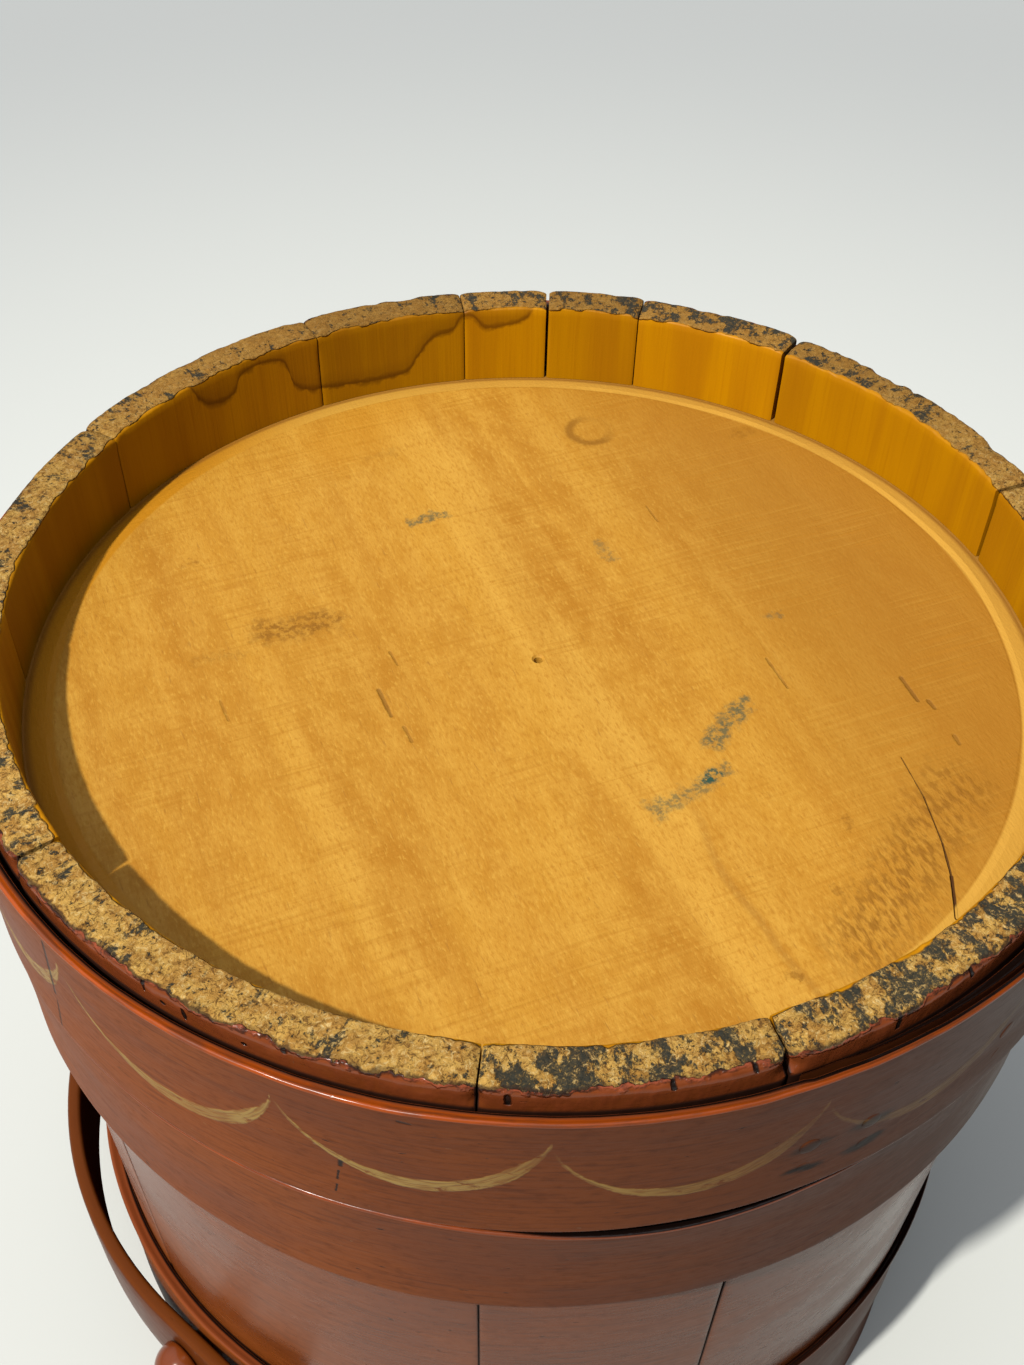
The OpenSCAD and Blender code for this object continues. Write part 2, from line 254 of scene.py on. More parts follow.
class Nodes:
    """A node tree. Each method adds nodes and returns an output."""

    def __init__(self, tree):
        self.tree = tree

    def put(self, socket, value):
        if isinstance(value, bpy.types.NodeSocket):
            self.tree.links.new(value, socket)
        elif socket.type == "RGBA":
            socket.default_value = (*value, 1)
        else:
            socket.default_value = value

    def node(self, kind, inputs, output=0, **settings):
        """Adds a node, sets it up and fills the inputs that are named or numbered."""
        node = self.tree.nodes.new("ShaderNode" + kind)
        for key, value in settings.items():
            setattr(node, key, value)
        for key, value in inputs.items():
            self.put(node.inputs[key], value)
        return node.outputs[output]

    def math(self, operation, *values):
        return self.node("Math", dict(enumerate(values)), operation=operation)

    def minus(self, first, second):
        return self.math("SUBTRACT", first, second)

    def absolute(self, value):
        return self.math("ABSOLUTE", value)

    def most(self, first, second):
        return self.math("MAXIMUM", first, second)

    def product(self, *values):
        total = values[0]
        for value in values[1:]:
            total = self.math("MULTIPLY", total, value)
        return total

    def sum(self, *values):
        total = values[0]
        for value in values[1:]:
            total = self.math("ADD", total, value)
        return total

    def length(self, x, y):
        return self.math("SQRT", self.sum(self.product(x, x), self.product(y, y)))

    def vector_math(self, operation, *values, output=0):
        return self.node("VectorMath", dict(enumerate(values)), output, operation=operation)

    def scaled(self, vector, factor):
        return self.node("VectorMath", {0: vector, "Scale": factor}, operation="SCALE")

    def stretch(self, vector, x, y, z):
        return self.vector_math("MULTIPLY", vector, (x, y, z))

    def shift(self, vector, offset):
        return self.vector_math("ADD", vector, offset)

    def vector(self, x, y, z):
        return self.node("CombineXYZ", {0: x, 1: y, 2: z})

    def parts(self, vector):
        return self.node("SeparateXYZ", {0: vector}).node.outputs

    def attribute(self, name, output="Vector"):
        return self.node("Attribute", {}, output, attribute_name=name)

    def place(self):
        """The point on the object, in millimetres."""
        return self.scaled(self.node("TexCoord", {}, "Object"), 1 / MM)

    def noise(self, vector, size, detail=3, rough=0.5, warp=0):
        return self.node("TexNoise", {"Vector": vector, "Scale": 1 / size, "Detail": detail,
                                      "Roughness": rough, "Distortion": warp}, "Fac")

    def wave(self, vector, size, **how):
        """Noise round zero."""
        return self.minus(self.noise(vector, size, **how), 0.5)

    def span(self, value, low, high, to_low=0.0, to_high=1.0):
        """Maps low..high to to_low..to_high with smooth, clamped ends."""
        inputs = dict(enumerate((value, low, high, to_low, to_high)))
        return self.node("MapRange", inputs, interpolation_type="SMOOTHSTEP")

    def curve(self, value, low, high, points):
        """A smooth curve through (value, result) points, with results between 0 and 1."""
        share = self.math("DIVIDE", self.minus(value, low), high - low)
        result = self.node("FloatCurve", {"Value": share})
        mapping = result.node.mapping
        knots = mapping.curves[0].points
        places = [((a - low) / (high - low), b) for a, b in points]
        knots[0].location = places[0]
        knots[1].location = places[-1]
        for place in places[1:-1]:
            knots.new(*place)
        mapping.update()
        return result

    def mix(self, share, first, second):
        return self.node("Mix", {0: share, 6: first, 7: second}, 2, data_type="RGBA")

    def blend(self, share, first, second):
        """The same for plain numbers."""
        return self.node("Mix", {0: share, 2: first, 3: second}, data_type="FLOAT")

    def from_line(self, flat, start, end):
        """Distance of a flat point from a straight mark."""
        reach = math.dist(start, end)
        ahead = ((end[0] - start[0]) / reach, (end[1] - start[1]) / reach, 0)
        away = self.vector_math("SUBTRACT", flat, (*start, 0))
        along = self.vector_math("DOT_PRODUCT", away, ahead, output="Value")
        along = self.math("MINIMUM", self.most(along, 0), reach)
        near = self.vector_math("SUBTRACT", away, self.scaled(ahead, along))
        return self.vector_math("LENGTH", near, output="Value")

    def marks(self, flat, lines, ragged, soft=0.5):
        """A mask of straight marks; each is (start, end, half width, strength)."""
        mask = None
        for start, end, half, strength in lines:
            off = self.sum(self.from_line(flat, start, end), ragged)
            one = self.span(off, (0.9 - soft) * half, (0.9 + soft) * half, strength, 0)
            mask = one if mask is None else self.most(mask, one)
        return mask


class Shading(Nodes):
    """A material's node tree."""

    def __init__(self, name):
        self.material = bpy.data.materials.new(name)
        self.material.use_nodes = True
        super().__init__(self.material.node_tree)

    def shade(self, inputs):
        for key, value in inputs.items():
            self.put(self.tree.nodes["Principled BSDF"].inputs[key], value)
        return self.material


# Share of black in every colour, to suit the strong sun
DIMMED = 0.565


class Coat:
    """What lies on a surface: its colour, roughness and height. Shares are multiplied with each other."""

    def __init__(self, s, colour, roughness, height):
        self.s = s
        self.colour = colour
        self.roughness = roughness
        self.height = height

    def tint(self, colour, *shares):
        self.colour = self.s.mix(self.s.product(*shares), self.colour, colour)

    def smooth(self, roughness, share):
        self.roughness = self.s.blend(share, self.roughness, roughness)

    def roughen(self, more):
        self.roughness = self.s.sum(self.roughness, more)

    def rise(self, *shares):
        self.height = self.s.sum(self.height, self.s.product(*shares))

    def cover(self, other, share):
        self.tint(other.colour, share)
        self.smooth(other.roughness, share)
        self.height = self.s.blend(share, self.height, other.height)

    def finish(self, specular):
        """The material with this coat."""
        s = self.s
        normal = s.node("Bump", {"Strength": 1.0, "Distance": MM, "Height": self.height})
        return s.shade({"Base Color": s.mix(DIMMED, self.colour, (0, 0, 0)), "Roughness": self.roughness,
                        "Normal": normal, "Specular IOR Level": specular})


PAINT_DARK = (0.11, 0.025, 0.005)
PAINT_MID = (0.256, 0.058, 0.0075)
PAINT_LIGHT = (0.34, 0.084, 0.0125)
PAINT_RUBBED = (0.5, 0.085, 0.004)
PAINT_SOOT = (0.016, 0.011, 0.009)
# Grime and tack rust, and painted shade in the gaps between parts
PAINT_GRIME_AND_SHADE = (0.008, 0.004, 0.003)
PAINT_STRIP = (0.245, 0.056, 0.0155)
PAINT_LIP = (0.38, 0.088, 0.038)
# Colour of painted shade on the paint
PAINT_SHADE = (0.02, 0.008, 0.006)
DUST = (0.38, 0.22, 0.12)
GOLD = (0.47, 0.3, 0.085)
STRAW = (0.72, 0.42, 0.095)
STRAW_PALE = (0.82, 0.57, 0.22)
OCHRE = (0.47, 0.22, 0.04)
OCHRE_DEEP = (0.34, 0.16, 0.025)
CREVICE = (0.2, 0.09, 0.02)
ARRIS_BROWN = (0.045, 0.022, 0.014)
INK_STAIN = (0.036, 0.042, 0.034)
AMBER = (0.63, 0.265, 0.0)
AMBER_DARK = (0.46, 0.165, 0.0)
STAIN_BROWN = (0.13, 0.037, 0.001)
BAIL_BROWN = (0.06, 0.012, 0.002)
BAIL_RUBBED = (0.165, 0.04, 0.005)
PEG_ORANGE = (0.2, 0.036, 0.004)
WEDGE_LIGHT = (0.55, 0.34, 0.14)
WEDGE_DEEP = (0.32, 0.17, 0.06)


def old_paint(s, grain):
    """Worn satin paint, brushed along the grain's first axis."""
    clouds = s.noise(s.stretch(grain, 0.4, 1, 1), 22)
    streaks = s.noise(s.stretch(grain, 0.07, 1, 1), 0.9, rough=0.55)
    mottle = s.noise(s.stretch(grain, 0.5, 1, 1), 1.6, rough=0.6)
    specks = s.noise(s.stretch(s.shift(grain, (91, 17, 5)), 0.3, 1, 1), 1.1, detail=2)
    dusty = s.noise(s.stretch(s.shift(grain, (7, 40, 3)), 0.4, 1, 1), 0.8, detail=1)
    fleck = s.span(specks, 0.71, 0.77, 0, 0.75)
    colour = s.mix(s.span(clouds, 0.35, 0.65), PAINT_MID, PAINT_LIGHT)
    roughness = s.span(s.sum(clouds, s.product(mottle, 0.4)), 0.5, 0.9, 0.3, 0.42)
    coat = Coat(s, colour, roughness, s.product(streaks, 0.035))
    coat.tint(PAINT_DARK, s.span(streaks, 0.45, 0.75, 0, 0.5))
    coat.tint(PAINT_DARK, s.span(mottle, 0.5, 0.75, 0, 0.35))
    coat.tint(PAINT_SOOT, fleck)
    coat.tint(DUST, s.span(dusty, 0.79, 0.82, 0, 0.5))
    coat.rise(mottle, 0.03)
    coat.rise(fleck, -0.06)
    coat.rise(clouds, 0.2)
    return coat


def shaded_side(s, az):
    """Painted shade on the shaded side, darkest from about 265 to 300 degrees of azimuth."""
    return s.product(s.span(az, 175, 265, 0, 0.66), s.span(az, 300, 350, 1, 0))


# Painted swags round the foot hoop: their number, the depth of their cusps below the foot, and their sag
SWAGS = 16
CUSP_DEPTH = 13.0
SWAG_SAG = 19.5


def swag_mask(s, az, depth, ragged):
    """One circular stroke between each two cusps: mask and bristle marks."""
    chord = 2 * math.pi * (foot_r + 2) / SWAGS
    radius = (chord * chord / 4 + SWAG_SAG * SWAG_SAG) / (2 * SWAG_SAG)
    turn = s.math("DIVIDE", s.minus(az, 180), 360 / SWAGS)
    which = s.math("FLOOR", turn)
    x = s.minus(turn, which)
    wobble = s.node("TexWhiteNoise", {"W": which}, noise_dimensions="1D")
    lower = s.math("MULTIPLY_ADD", wobble, 3.0, -1.2)
    dx = s.product(s.minus(x, 0.5), chord)
    dz = s.minus(s.minus(depth, lower), CUSP_DEPTH + SWAG_SAG - radius)
    side = s.minus(s.length(dx, dz), radius)
    bristles = s.noise(s.vector(s.product(turn, 6), side, 0), 0.6, detail=2)
    half = s.product(s.span(x, 0.02, 0.58, 0.35, 2.0), s.span(x, 0.84, 1.0, 1.0, 0.2))
    inside = s.sum(s.minus(half, s.absolute(side)), s.product(ragged, 1.1))
    stroke = s.product(s.span(inside, -0.15, 0.3), s.span(x, 0.0, 0.07))
    return s.product(stroke, s.span(depth, CUSP_DEPTH - 1.5, CUSP_DEPTH + 0.5)), bristles


def gild(s, coat, grain, az, depth, ragged):
    """Lays worn gold swags on a coat, with some nearly lost."""
    gilt, bristles = swag_mask(s, az, depth, ragged)
    worn = s.noise(s.stretch(grain, 0.5, 1, 1), 3, detail=5, rough=0.7)
    faded = s.noise(s.shift(grain, (300, 9, 0)), 40, detail=1)
    lost = s.product(s.span(az, 222, 242, 0.05, 0.62), s.span(az, 280, 320, 1, 0))
    fading = s.product(s.span(faded, 0.3, 0.6, 0.55, 1.0), s.minus(1.0, lost))
    gilt = s.product(gilt, s.span(worn, 0.33, 0.47), s.span(bristles, 0.34, 0.6, 0.45, 1.0), fading)
    coat.tint(GOLD, gilt)
    coat.rise(gilt, 0.08)


# Old marks on the foot hoop: two ends as azimuth and depth below the foot, half width and strength
FOOT_HOOP_MARKS = [
    ((178.7, 8), (176.4, 31), 0.45, 0.8), ((176.2, 34), (174.9, 47), 0.35, 0.7),
    ((207.9, 29.6), (207.8, 31.2), 0.5, 0.95), ((207.6, 33.5), (207.4, 36.6), 0.24, 0.9),
    ((207.3, 39), (207.1, 41.6), 0.24, 0.9), ((213.2, 8.9), (214.1, 9.3), 0.4, 0.7),
]


def scar(s, coat, around, depth, ragged):
    """Lays the foot hoop's old marks on a coat."""
    lines = [((a * ARC, b), (c * ARC, d), w, k) for (a, b), (c, d), w, k in FOOT_HOOP_MARKS]
    scars = s.marks(s.vector(around, depth, 0), lines, s.product(ragged, 0.7))
    coat.tint(PAINT_SOOT, scars)
    coat.rise(scars, -0.1)


def rust_through(s, coat, around, height_z, tacks, strength, ragged):
    """Lays the rust of tacks at (azimuth, height, seat radius) on a coat, in spots drawn out sideways."""
    narrow = 0.42
    lines = []
    for k, (az, z, _) in enumerate(tacks):
        x = az * ARC * narrow
        lean = 0.5 - 0.45 * (k % 3)
        half = 1.2 + 0.3 * ((k + 1) % 3)
        lines.append(((x - 0.5, z - lean), (x + 0.5, z + lean), half, strength * (1 - 0.25 * (k % 2))))
    flat = s.vector(s.product(around, narrow), height_z, 0)
    coat.tint(PAINT_GRIME_AND_SHADE, s.marks(flat, lines, s.product(ragged, 3.0), soft=0.6))


def hoop_material(name, swags=False, tacks=(), rust=0.55, specular=0.06):
    """Paint on a bent strip, rubbed bright along the edges."""
    s = Shading(name)
    grain = s.attribute("grain")
    around, height_z, _ = s.parts(grain)
    coat = old_paint(s, grain)
    coat.roughen(0.13)
    ragged = s.wave(s.stretch(grain, 0.4, 1, 1), 1.8, detail=4, rough=0.7)
    az = s.math("FLOORED_MODULO", s.math("DIVIDE", around, ARC), 360)
    # Painted shade on the shaded side
    shade_share = shaded_side(s, az)
    coat.tint(PAINT_SHADE, shade_share)
    if swags:
        depth = s.minus(foot_z, height_z)
        gild(s, coat, grain, az, depth, ragged)
        scar(s, coat, around, depth, ragged)
    if tacks:
        rust_through(s, coat, around, height_z, tacks, rust, ragged)
    # Edge faces take the strip's paint, and painted shade where they lie against the staves
    end_paint_and_shade = s.attribute("end_paint_and_shade", "Fac")
    end_face = s.span(end_paint_and_shade, 0.1, 0.45)
    coat.tint(PAINT_STRIP, end_face)
    coat.tint(PAINT_GRIME_AND_SHADE, s.span(end_paint_and_shade, 0.6, 0.95))
    rub_noise = s.noise(s.stretch(grain, 0.12, 1, 1), 1.6, detail=4, rough=0.65)
    rubbed = s.span(s.sum(s.attribute("edge", "Fac"), s.product(rub_noise, 0.8)), 0.8, 1.1)
    bright = s.mix(s.span(rub_noise, 0.42, 0.62), PAINT_RUBBED, PAINT_STRIP)
    # Rubbed edges, darkened on the shaded side as painted shade
    coat.tint(s.mix(s.product(shade_share, 0.75), bright, PAINT_DARK), rubbed, 0.95)
    coat.smooth(s.span(rub_noise, 0.3, 0.7, 0.16, 0.3), s.most(end_face, rubbed))
    coat.rise(end_paint_and_shade, rub_noise, 0.25)
    return coat.finish(specular)


# Dark nicks in the painted strip above the foot hoop: azimuth, two depths, half width
STRIP_NICKS = [
    (176.5, 2.5, 4.5, 0.35), (190.0, 1.5, 3.6, 0.35), (191.9, 4.2, 4.3, 0.5), (194.1, 3.0, 5.4, 0.4),
    (199.8, 4.4, 4.5, 0.5), (203.4, 1.0, 1.8, 0.6), (221.4, 2.2, 4.6, 0.6), (234.2, 0.9, 1.9, 0.45),
    (240.9, 0.9, 1.6, 0.45), (254.0, 1.4, 4.9, 0.5), (262.0, 0.8, 2.4, 0.5), (20.0, 1.0, 4.0, 0.4),
    (88.0, 1.5, 4.6, 0.4), (123.0, 1.0, 3.0, 0.5), (151.0, 2.0, 4.8, 0.4), (310.0, 1.2, 4.2, 0.5),
]
# How much of the bare foot is stained dark, by azimuth
INK_SHARE = [
    (0, 0.58), (40, 0.62), (75, 0.47), (110, 0.52), (150, 0.56), (180, 0.52), (205, 0.48), (219, 0.56),
    (228, 0.7), (244, 0.64), (262, 0.7), (290, 0.6), (330, 0.52), (360, 0.58),
]
# The water stain's edge inside: azimuth and depth below the foot
TIDE_DEPTH = [
    (40, 0), (44, 0), (45.8, 3), (48.3, 5), (50.8, 5.6), (53.6, 1.6), (55.5, 5.7), (57.3, 6.5), (60.6, 12.9),
    (63, 17), (73.5, 15.9), (77.8, 12.2), (79.3, 4), (83.2, 2.6), (85.2, 3.3), (87.7, 8.3), (92, 4.3),
    (93.5, 0), (100, 0),
]
TIDE_DEEPEST = 20


class StavePoint:
    """Where a point of a stave lies, and the noise that breaks its coats' edges."""

    def __init__(self, s):
        self.place = s.place()
        self.x, self.y, self.z = s.parts(self.place)
        self.az = s.math("FLOORED_MODULO", s.product(s.math("ARCTAN2", self.y, self.x), 180 / math.pi), 360)
        self.depth = s.minus(foot_z, self.z)
        outside = s.math("MULTIPLY_ADD", self.depth, -cone_slope, foot_r)
        self.inset = s.minus(outside, s.length(self.x, self.y))
        self.grain = s.attribute("grain")
        self.chip = s.noise(self.place, 6.5)
        self.small_chip = s.noise(s.shift(self.place, (31, 2, 9)), 1.6)
        chip_line = s.sum(s.span(self.chip, 0.3, 0.7, -1.0, 1.2),
                          s.span(self.small_chip, 0.3, 0.7, -0.35, 0.35))
        # How far the point is from the paint's broken upper edge, on the painted side
        self.past_edge = s.minus(s.minus(self.depth, self.inset), chip_line)


def stave_paint(s, at):
    """Paint on the outside."""
    up, around, inward = s.parts(at.grain)
    coat = old_paint(s, s.vector(around, up, inward))
    coat.roughen(-0.08)
    # Painted shade on the shaded side, over a slight darkening all round
    coat.tint(PAINT_SHADE, s.math("MULTIPLY_ADD", shaded_side(s, at.az), 0.4, 0.15))
    # Over the foot hoop the paint is thick, dark and glossy
    strip = s.span(at.depth, 9, 12, 1, 0)
    runs = s.noise(s.stretch(at.place, 1, 1, 0.5), 2.6, detail=2)
    coat.tint(PAINT_STRIP, strip, s.span(runs, 0.3, 0.6, 0.55, 0.95))
    coat.smooth(0.2, strip)
    coat.rise(strip, runs, 0.3)
    # Its upper edge is broken at the arris and shows red where it is thick
    lip = s.span(at.past_edge, 0.35, 1.15, 1, 0)
    lip_tone = s.noise(s.shift(at.place, (5, 70, 20)), 4, detail=4, rough=0.65)
    lip_colour = s.mix(s.span(lip_tone, 0.42, 0.6), PAINT_SOOT, PAINT_LIP)
    coat.tint(lip_colour, lip, s.span(lip_tone, 0.3, 0.7, 0.9, 0.75))
    coat.rise(lip, 0.25)
    lines = [((a * ARC, b), (a * ARC + 0.2, c), w, 1.0) for a, b, c, w in STRIP_NICKS]
    flat = s.vector(s.product(at.az, ARC), at.depth, 0)
    nicks = s.marks(flat, lines, s.product(s.minus(at.small_chip, 0.5), 0.8))
    coat.tint(PAINT_SOOT, nicks)
    coat.rise(nicks, -0.6)
    # The lid has worn the mouth nearly bare
    tenon = s.span(at.z, step_z - 0.6, step_z + 0.2, 1, 0)
    coat.tint(OCHRE_DEEP, tenon, s.span(runs, 0.35, 0.6, 0.9, 0.55))
    # Painted shade behind the hoops, and grime along the joints
    shade_behind_hoop = s.product(s.span(at.z, foot_hoop_top - 2.0, foot_hoop_top - 0.7, 1, 0),
                       s.span(at.z, second_hoop_low + 0.3, second_hoop_low + 1.3))
    shade_under_mouth = s.product(s.span(at.z, mouth_hoop_top - 0.8, mouth_hoop_top + 0.2, 1, 0),
                            s.span(at.z, step_z - 0.5, step_z + 0.5))
    shade_and_joint_grime = s.most(s.most(shade_behind_hoop, shade_under_mouth), s.span(s.attribute("seam", "Fac"), 0.1, 0.9))
    coat.tint(PAINT_GRIME_AND_SHADE, shade_and_joint_grime, 0.9)
    coat.smooth(0.6, shade_and_joint_grime)
    coat.rise(0.5)
    return coat


def bare_ends(s, at):
    """Bare end grain at the foot, stained dark in places."""
    patches = s.noise(at.place, 3.2, rough=0.55)
    fuzz = s.noise(at.place, 1.1, detail=5, rough=0.78, warp=0.7)
    coat = Coat(s, s.mix(s.span(patches, 0.38, 0.62, 0, 0.75), STRAW, OCHRE), 0.85, s.product(fuzz, 0.7))
    coat.rise(patches, 0.5)
    coat.tint(STRAW_PALE, s.span(fuzz, 0.36, 0.47, 0.9, 0))
    coat.tint(CREVICE, s.span(fuzz, 0.51, 0.61, 0, 0.9))
    # The side away from the worn front is browner
    far_side = s.sum(s.product(at.x, 0.74), s.product(at.y, 0.67))
    coat.tint(OCHRE_DEEP, s.span(far_side, 0, 100, 0, 0.75))
    share = s.curve(at.az, 0, 360, INK_SHARE)
    drops = s.noise(s.shift(at.place, (12, 44, 7)), 2.0, detail=6, rough=0.72)
    dropped = s.span(s.sum(drops, s.product(share, 0.15)), 0.66, 0.72)
    ink = s.noise(s.stretch(s.shift(at.grain, (55, 3, 80)), 1, 1, 0.65), 4.2, detail=6, rough=0.66)
    inked = s.most(s.span(s.sum(ink, s.product(share, 0.5)), 0.82, 0.88), dropped)
    inked = s.product(inked, s.span(fuzz, 0.37, 0.5, 0.25, 1.0))
    coat.tint(INK_STAIN, inked, 0.95)
    coat.rise(inked, -0.25)
    arris = s.span(s.absolute(s.sum(at.past_edge, 0.35)), 0.15, 0.9, 0.8, 0)
    coat.tint(ARRIS_BROWN, arris, s.span(at.chip, 0.4, 0.55, 0.25, 1))
    return coat


def inside_varnish(s, at):
    """Varnish on the inside, with a water stain."""
    fibres = s.noise(s.stretch(at.grain, 0.03, 1, 1), 1.0, detail=4, rough=0.6)
    broad = s.noise(s.stretch(at.grain, 0.1, 1, 1), 9, detail=2)
    colour = s.mix(s.span(broad, 0.3, 0.7, 0, 0.6), AMBER, AMBER_DARK)
    coat = Coat(s, colour, s.span(broad, 0.3, 0.7, 0.4, 0.5), s.product(fibres, 0.08))
    coat.tint(AMBER_DARK, s.span(fibres, 0.45, 0.75, 0, 0.35))
    tide = s.curve(at.az, 40, 100, [(az, depth / TIDE_DEEPEST) for az, depth in TIDE_DEPTH])
    tide_wave = s.noise(at.place, 3)
    tide = s.sum(s.product(tide, TIDE_DEEPEST), s.product(tide_wave, 1.6), -0.8)
    from_tide = s.minus(at.depth, tide)
    in_tide = s.product(s.span(at.az, 44.6, 45.6), s.span(at.az, 92.6, 93.6, 1, 0))
    line_half = s.span(tide_wave, 0.35, 0.65, 0.4, 1.3)
    line = s.span(s.math("DIVIDE", s.absolute(from_tide), line_half), 0.0, 1.7, 1, 0)
    soaked = s.product(s.span(from_tide, -5.5, 0.4, 0.22, 0.45), s.span(from_tide, 0, 0.5, 1, 0))
    coat.tint(STAIN_BROWN, soaked, in_tide)
    coat.tint(STAIN_BROWN, line, in_tide, 0.6)
    return coat


def stave_material(name, specular):
    """One stave: bare worn end at the foot, paint outside, varnish inside."""
    s = Shading(name)
    at = StavePoint(s)
    coat = bare_ends(s, at)
    in_depth = s.minus(at.depth, s.minus(stave_t, at.inset))
    varnished = s.span(s.minus(in_depth, s.span(at.chip, 0.3, 0.7, -0.6, 1.0)), -0.2, 0.3)
    coat.cover(inside_varnish(s, at), s.product(varnished, s.span(at.inset, 5, 6)))
    painted = s.product(s.span(at.past_edge, -0.12, 0.15), s.span(at.inset, 4, 5, 1, 0))
    coat.cover(stave_paint(s, at), painted)
    # Staves differ a little in tone
    coat.colour = s.scaled(coat.colour, s.math("MULTIPLY_ADD", s.attribute("tone", "Fac"), 0.13, 1.0))
    return coat.finish(specular)


GRAIN_AZ = 67
BOARD_HONEY = (0.66, 0.315, 0.03)
BOARD_DEEP = (0.52, 0.215, 0.014)
BOARD_PALE = (0.78, 0.42, 0.06)
BOARD_BROWN = (0.3, 0.115, 0.014)
BOARD_SHADE = (0.43, 0.175, 0.012)
BOARD_WARM = (0.62, 0.26, 0.012)
BLUE_SMUDGE = (0.034, 0.085, 0.058)
MARK_BROWN = (0.32, 0.128, 0.008)
# Colour of the bevel where the rim's shadow falls, as painted shade
BEVEL_IN_SHADE = (0.62, 0.255, 0.008)
CRACK_BROWN = (0.1, 0.035, 0.006)

# Marks on the board, from one point to another, with half width and strength
BLUE_MARKS = [
    ((8.5, -44.8), (21, -42.2), 2.6, 0.75), ((20, -42.2), (23.4, -41.5), 1.5, 0.7),
    ((-15, -49.4), (-8, -51), 2.4, 0.6), ((-8, -51), (3.5, -52.2), 1.8, 0.6),
    ((-1.2, -51.2), (0.6, -51.6), 2.2, 1.0), ((13.4, 56.2), (20.2, 53.8), 1.5, 0.65),
    ((40.5, 18), (38.5, 12.5), 1.5, 0.4), ((50, -28), (51, -29), 1.3, 0.45),
]
BROWN_MARKS = [
    ((-38, 50), (-26, 44), 4.2, 0.9), ((-46.4, 48.2), (-54.9, 53.6), 1.8, 0.4),
    ((-37.1, 83.1), (-35.3, 82.3), 0.8, 0.5), ((22.7, 83.8), (31, 80.6), 1.6, 0.3),
    ((101, 23.2), (102, 23), 2.2, 0.5), ((-29.3, -95.5), (-28.5, -96.5), 0.7, 0.7),
    ((-15.7, -73), (-15.9, -73.5), 0.6, 0.7), ((11, -79), (10.6, -80.6), 1.1, 0.6),
    ((-5.5, -88), (-6, -90), 0.8, 0.5), ((-2.2, -91.5), (-2.7, -93), 1.0, 0.5),
]
GRAIN_DASHES = [
    ((37.6, -36.4), (33.5, -45.8), 0.35, 0.55), ((54.7, -61.7), (51.3, -68.7), 0.5, 0.8),
    ((53, -70.4), (52, -72.8), 0.5, 0.7), ((47.9, -80.8), (46.7, -82.9), 0.5, 0.6),
    ((-22.4, 25.5), (-24, 21.1), 0.35, 0.5), ((-32.6, 18), (-36.1, 10.1), 0.5, 0.8),
    ((-36.4, 5.6), (-38.2, 1.2), 0.4, 0.55), ((-60, 40), (-62.5, 34), 0.35, 0.4),
    ((60, 20), (57.5, 14), 0.3, 0.4),
]
CRACK = [
    ((34.1, -76.4), (28, -86.6), 0.1, 0.6), ((28, -86.6), (20.1, -96.8), 0.14, 0.75),
    ((20.1, -96.8), (13.9, -103.3), 0.2, 0.9), ((13.9, -103.3), (5.7, -110.1), 0.32, 1.0),
]
# The ring left by a small wet thing: centre and radius
RING_AT = (73.4, 51.8)
RING_R = 5.5


def board_wood(s, place, grain):
    """Bare wood: figure, growth rings, a pale heart, fine grain and saw marks."""
    along, across, _ = s.parts(grain)
    figure = s.noise(s.stretch(grain, 0.2, 1, 0), 26, warp=0.5)
    bands = s.noise(s.stretch(grain, 0.05, 1, 0), 7, rough=0.55)
    mottle = s.noise(s.stretch(grain, 0.6, 1, 0), 6, rough=0.6)
    fuzz = s.noise(s.stretch(grain, 0.4, 1, 1), 0.75, rough=0.65)
    fibres = s.noise(s.stretch(grain, 0.12, 1, 1), 0.6, detail=2)
    colour = s.mix(s.span(figure, 0.35, 0.65), BOARD_HONEY, BOARD_DEEP)
    roughness = s.span(s.sum(fuzz, mottle), 0.7, 1.3, 0.5, 0.65)
    coat = Coat(s, colour, roughness, s.product(fuzz, 0.14))
    coat.tint(BOARD_PALE, s.span(mottle, 0.35, 0.65, 0.35, 0))
    coat.tint(BOARD_DEEP, s.span(bands, 0.5, 0.7, 0, 0.4))
    coat.tint(BOARD_PALE, s.span(bands, 0.3, 0.48, 0.4, 0))
    coat.rise(bands, 0.15)
    # The pale heart, and the dark line beside it
    sway = s.product(s.wave(s.stretch(grain, 1, 0, 0), 45, detail=1), 16)
    heart = s.span(s.absolute(s.sum(across, sway, 4)), 2, 9, 0.75, 0)
    coat.tint(BOARD_PALE, heart, s.span(bands, 0.35, 0.6, 1.0, 0.5))
    heart_edge = s.span(s.absolute(s.sum(across, s.product(sway, 0.8), 11.5)), 0.2, 1.6, 0.35, 0)
    coat.tint(BOARD_BROWN, heart_edge, s.span(along, -75, -40, 1, 0))
    # Fine grain, and the darker side away from the heart
    coat.tint(BOARD_DEEP, s.span(fuzz, 0.5, 0.68, 0, 0.6))
    coat.tint(BOARD_PALE, s.span(fuzz, 0.3, 0.47, 0.55, 0))
    coat.tint(BOARD_BROWN, s.span(fibres, 0.66, 0.76, 0, 0.35))
    coat.tint(BOARD_SHADE, s.span(s.sum(across, s.product(figure, 30)), -70, -5, 0.8, 0))
    # Saw marks lie across the grain
    saw_on = s.span(s.noise(s.shift(place, (20, 60, 0)), 35, detail=2), 0.4, 0.62, 0.3, 1)
    saw = s.product(s.wave(s.stretch(grain, 1, 0.04, 0), 1.0, detail=1), saw_on)
    coat.tint(BOARD_DEEP, s.span(saw, 0.02, 0.18, 0, 0.35))
    coat.tint(BOARD_PALE, s.span(saw, -0.18, -0.02, 0.12, 0))
    coat.rise(saw, 0.2)
    return coat


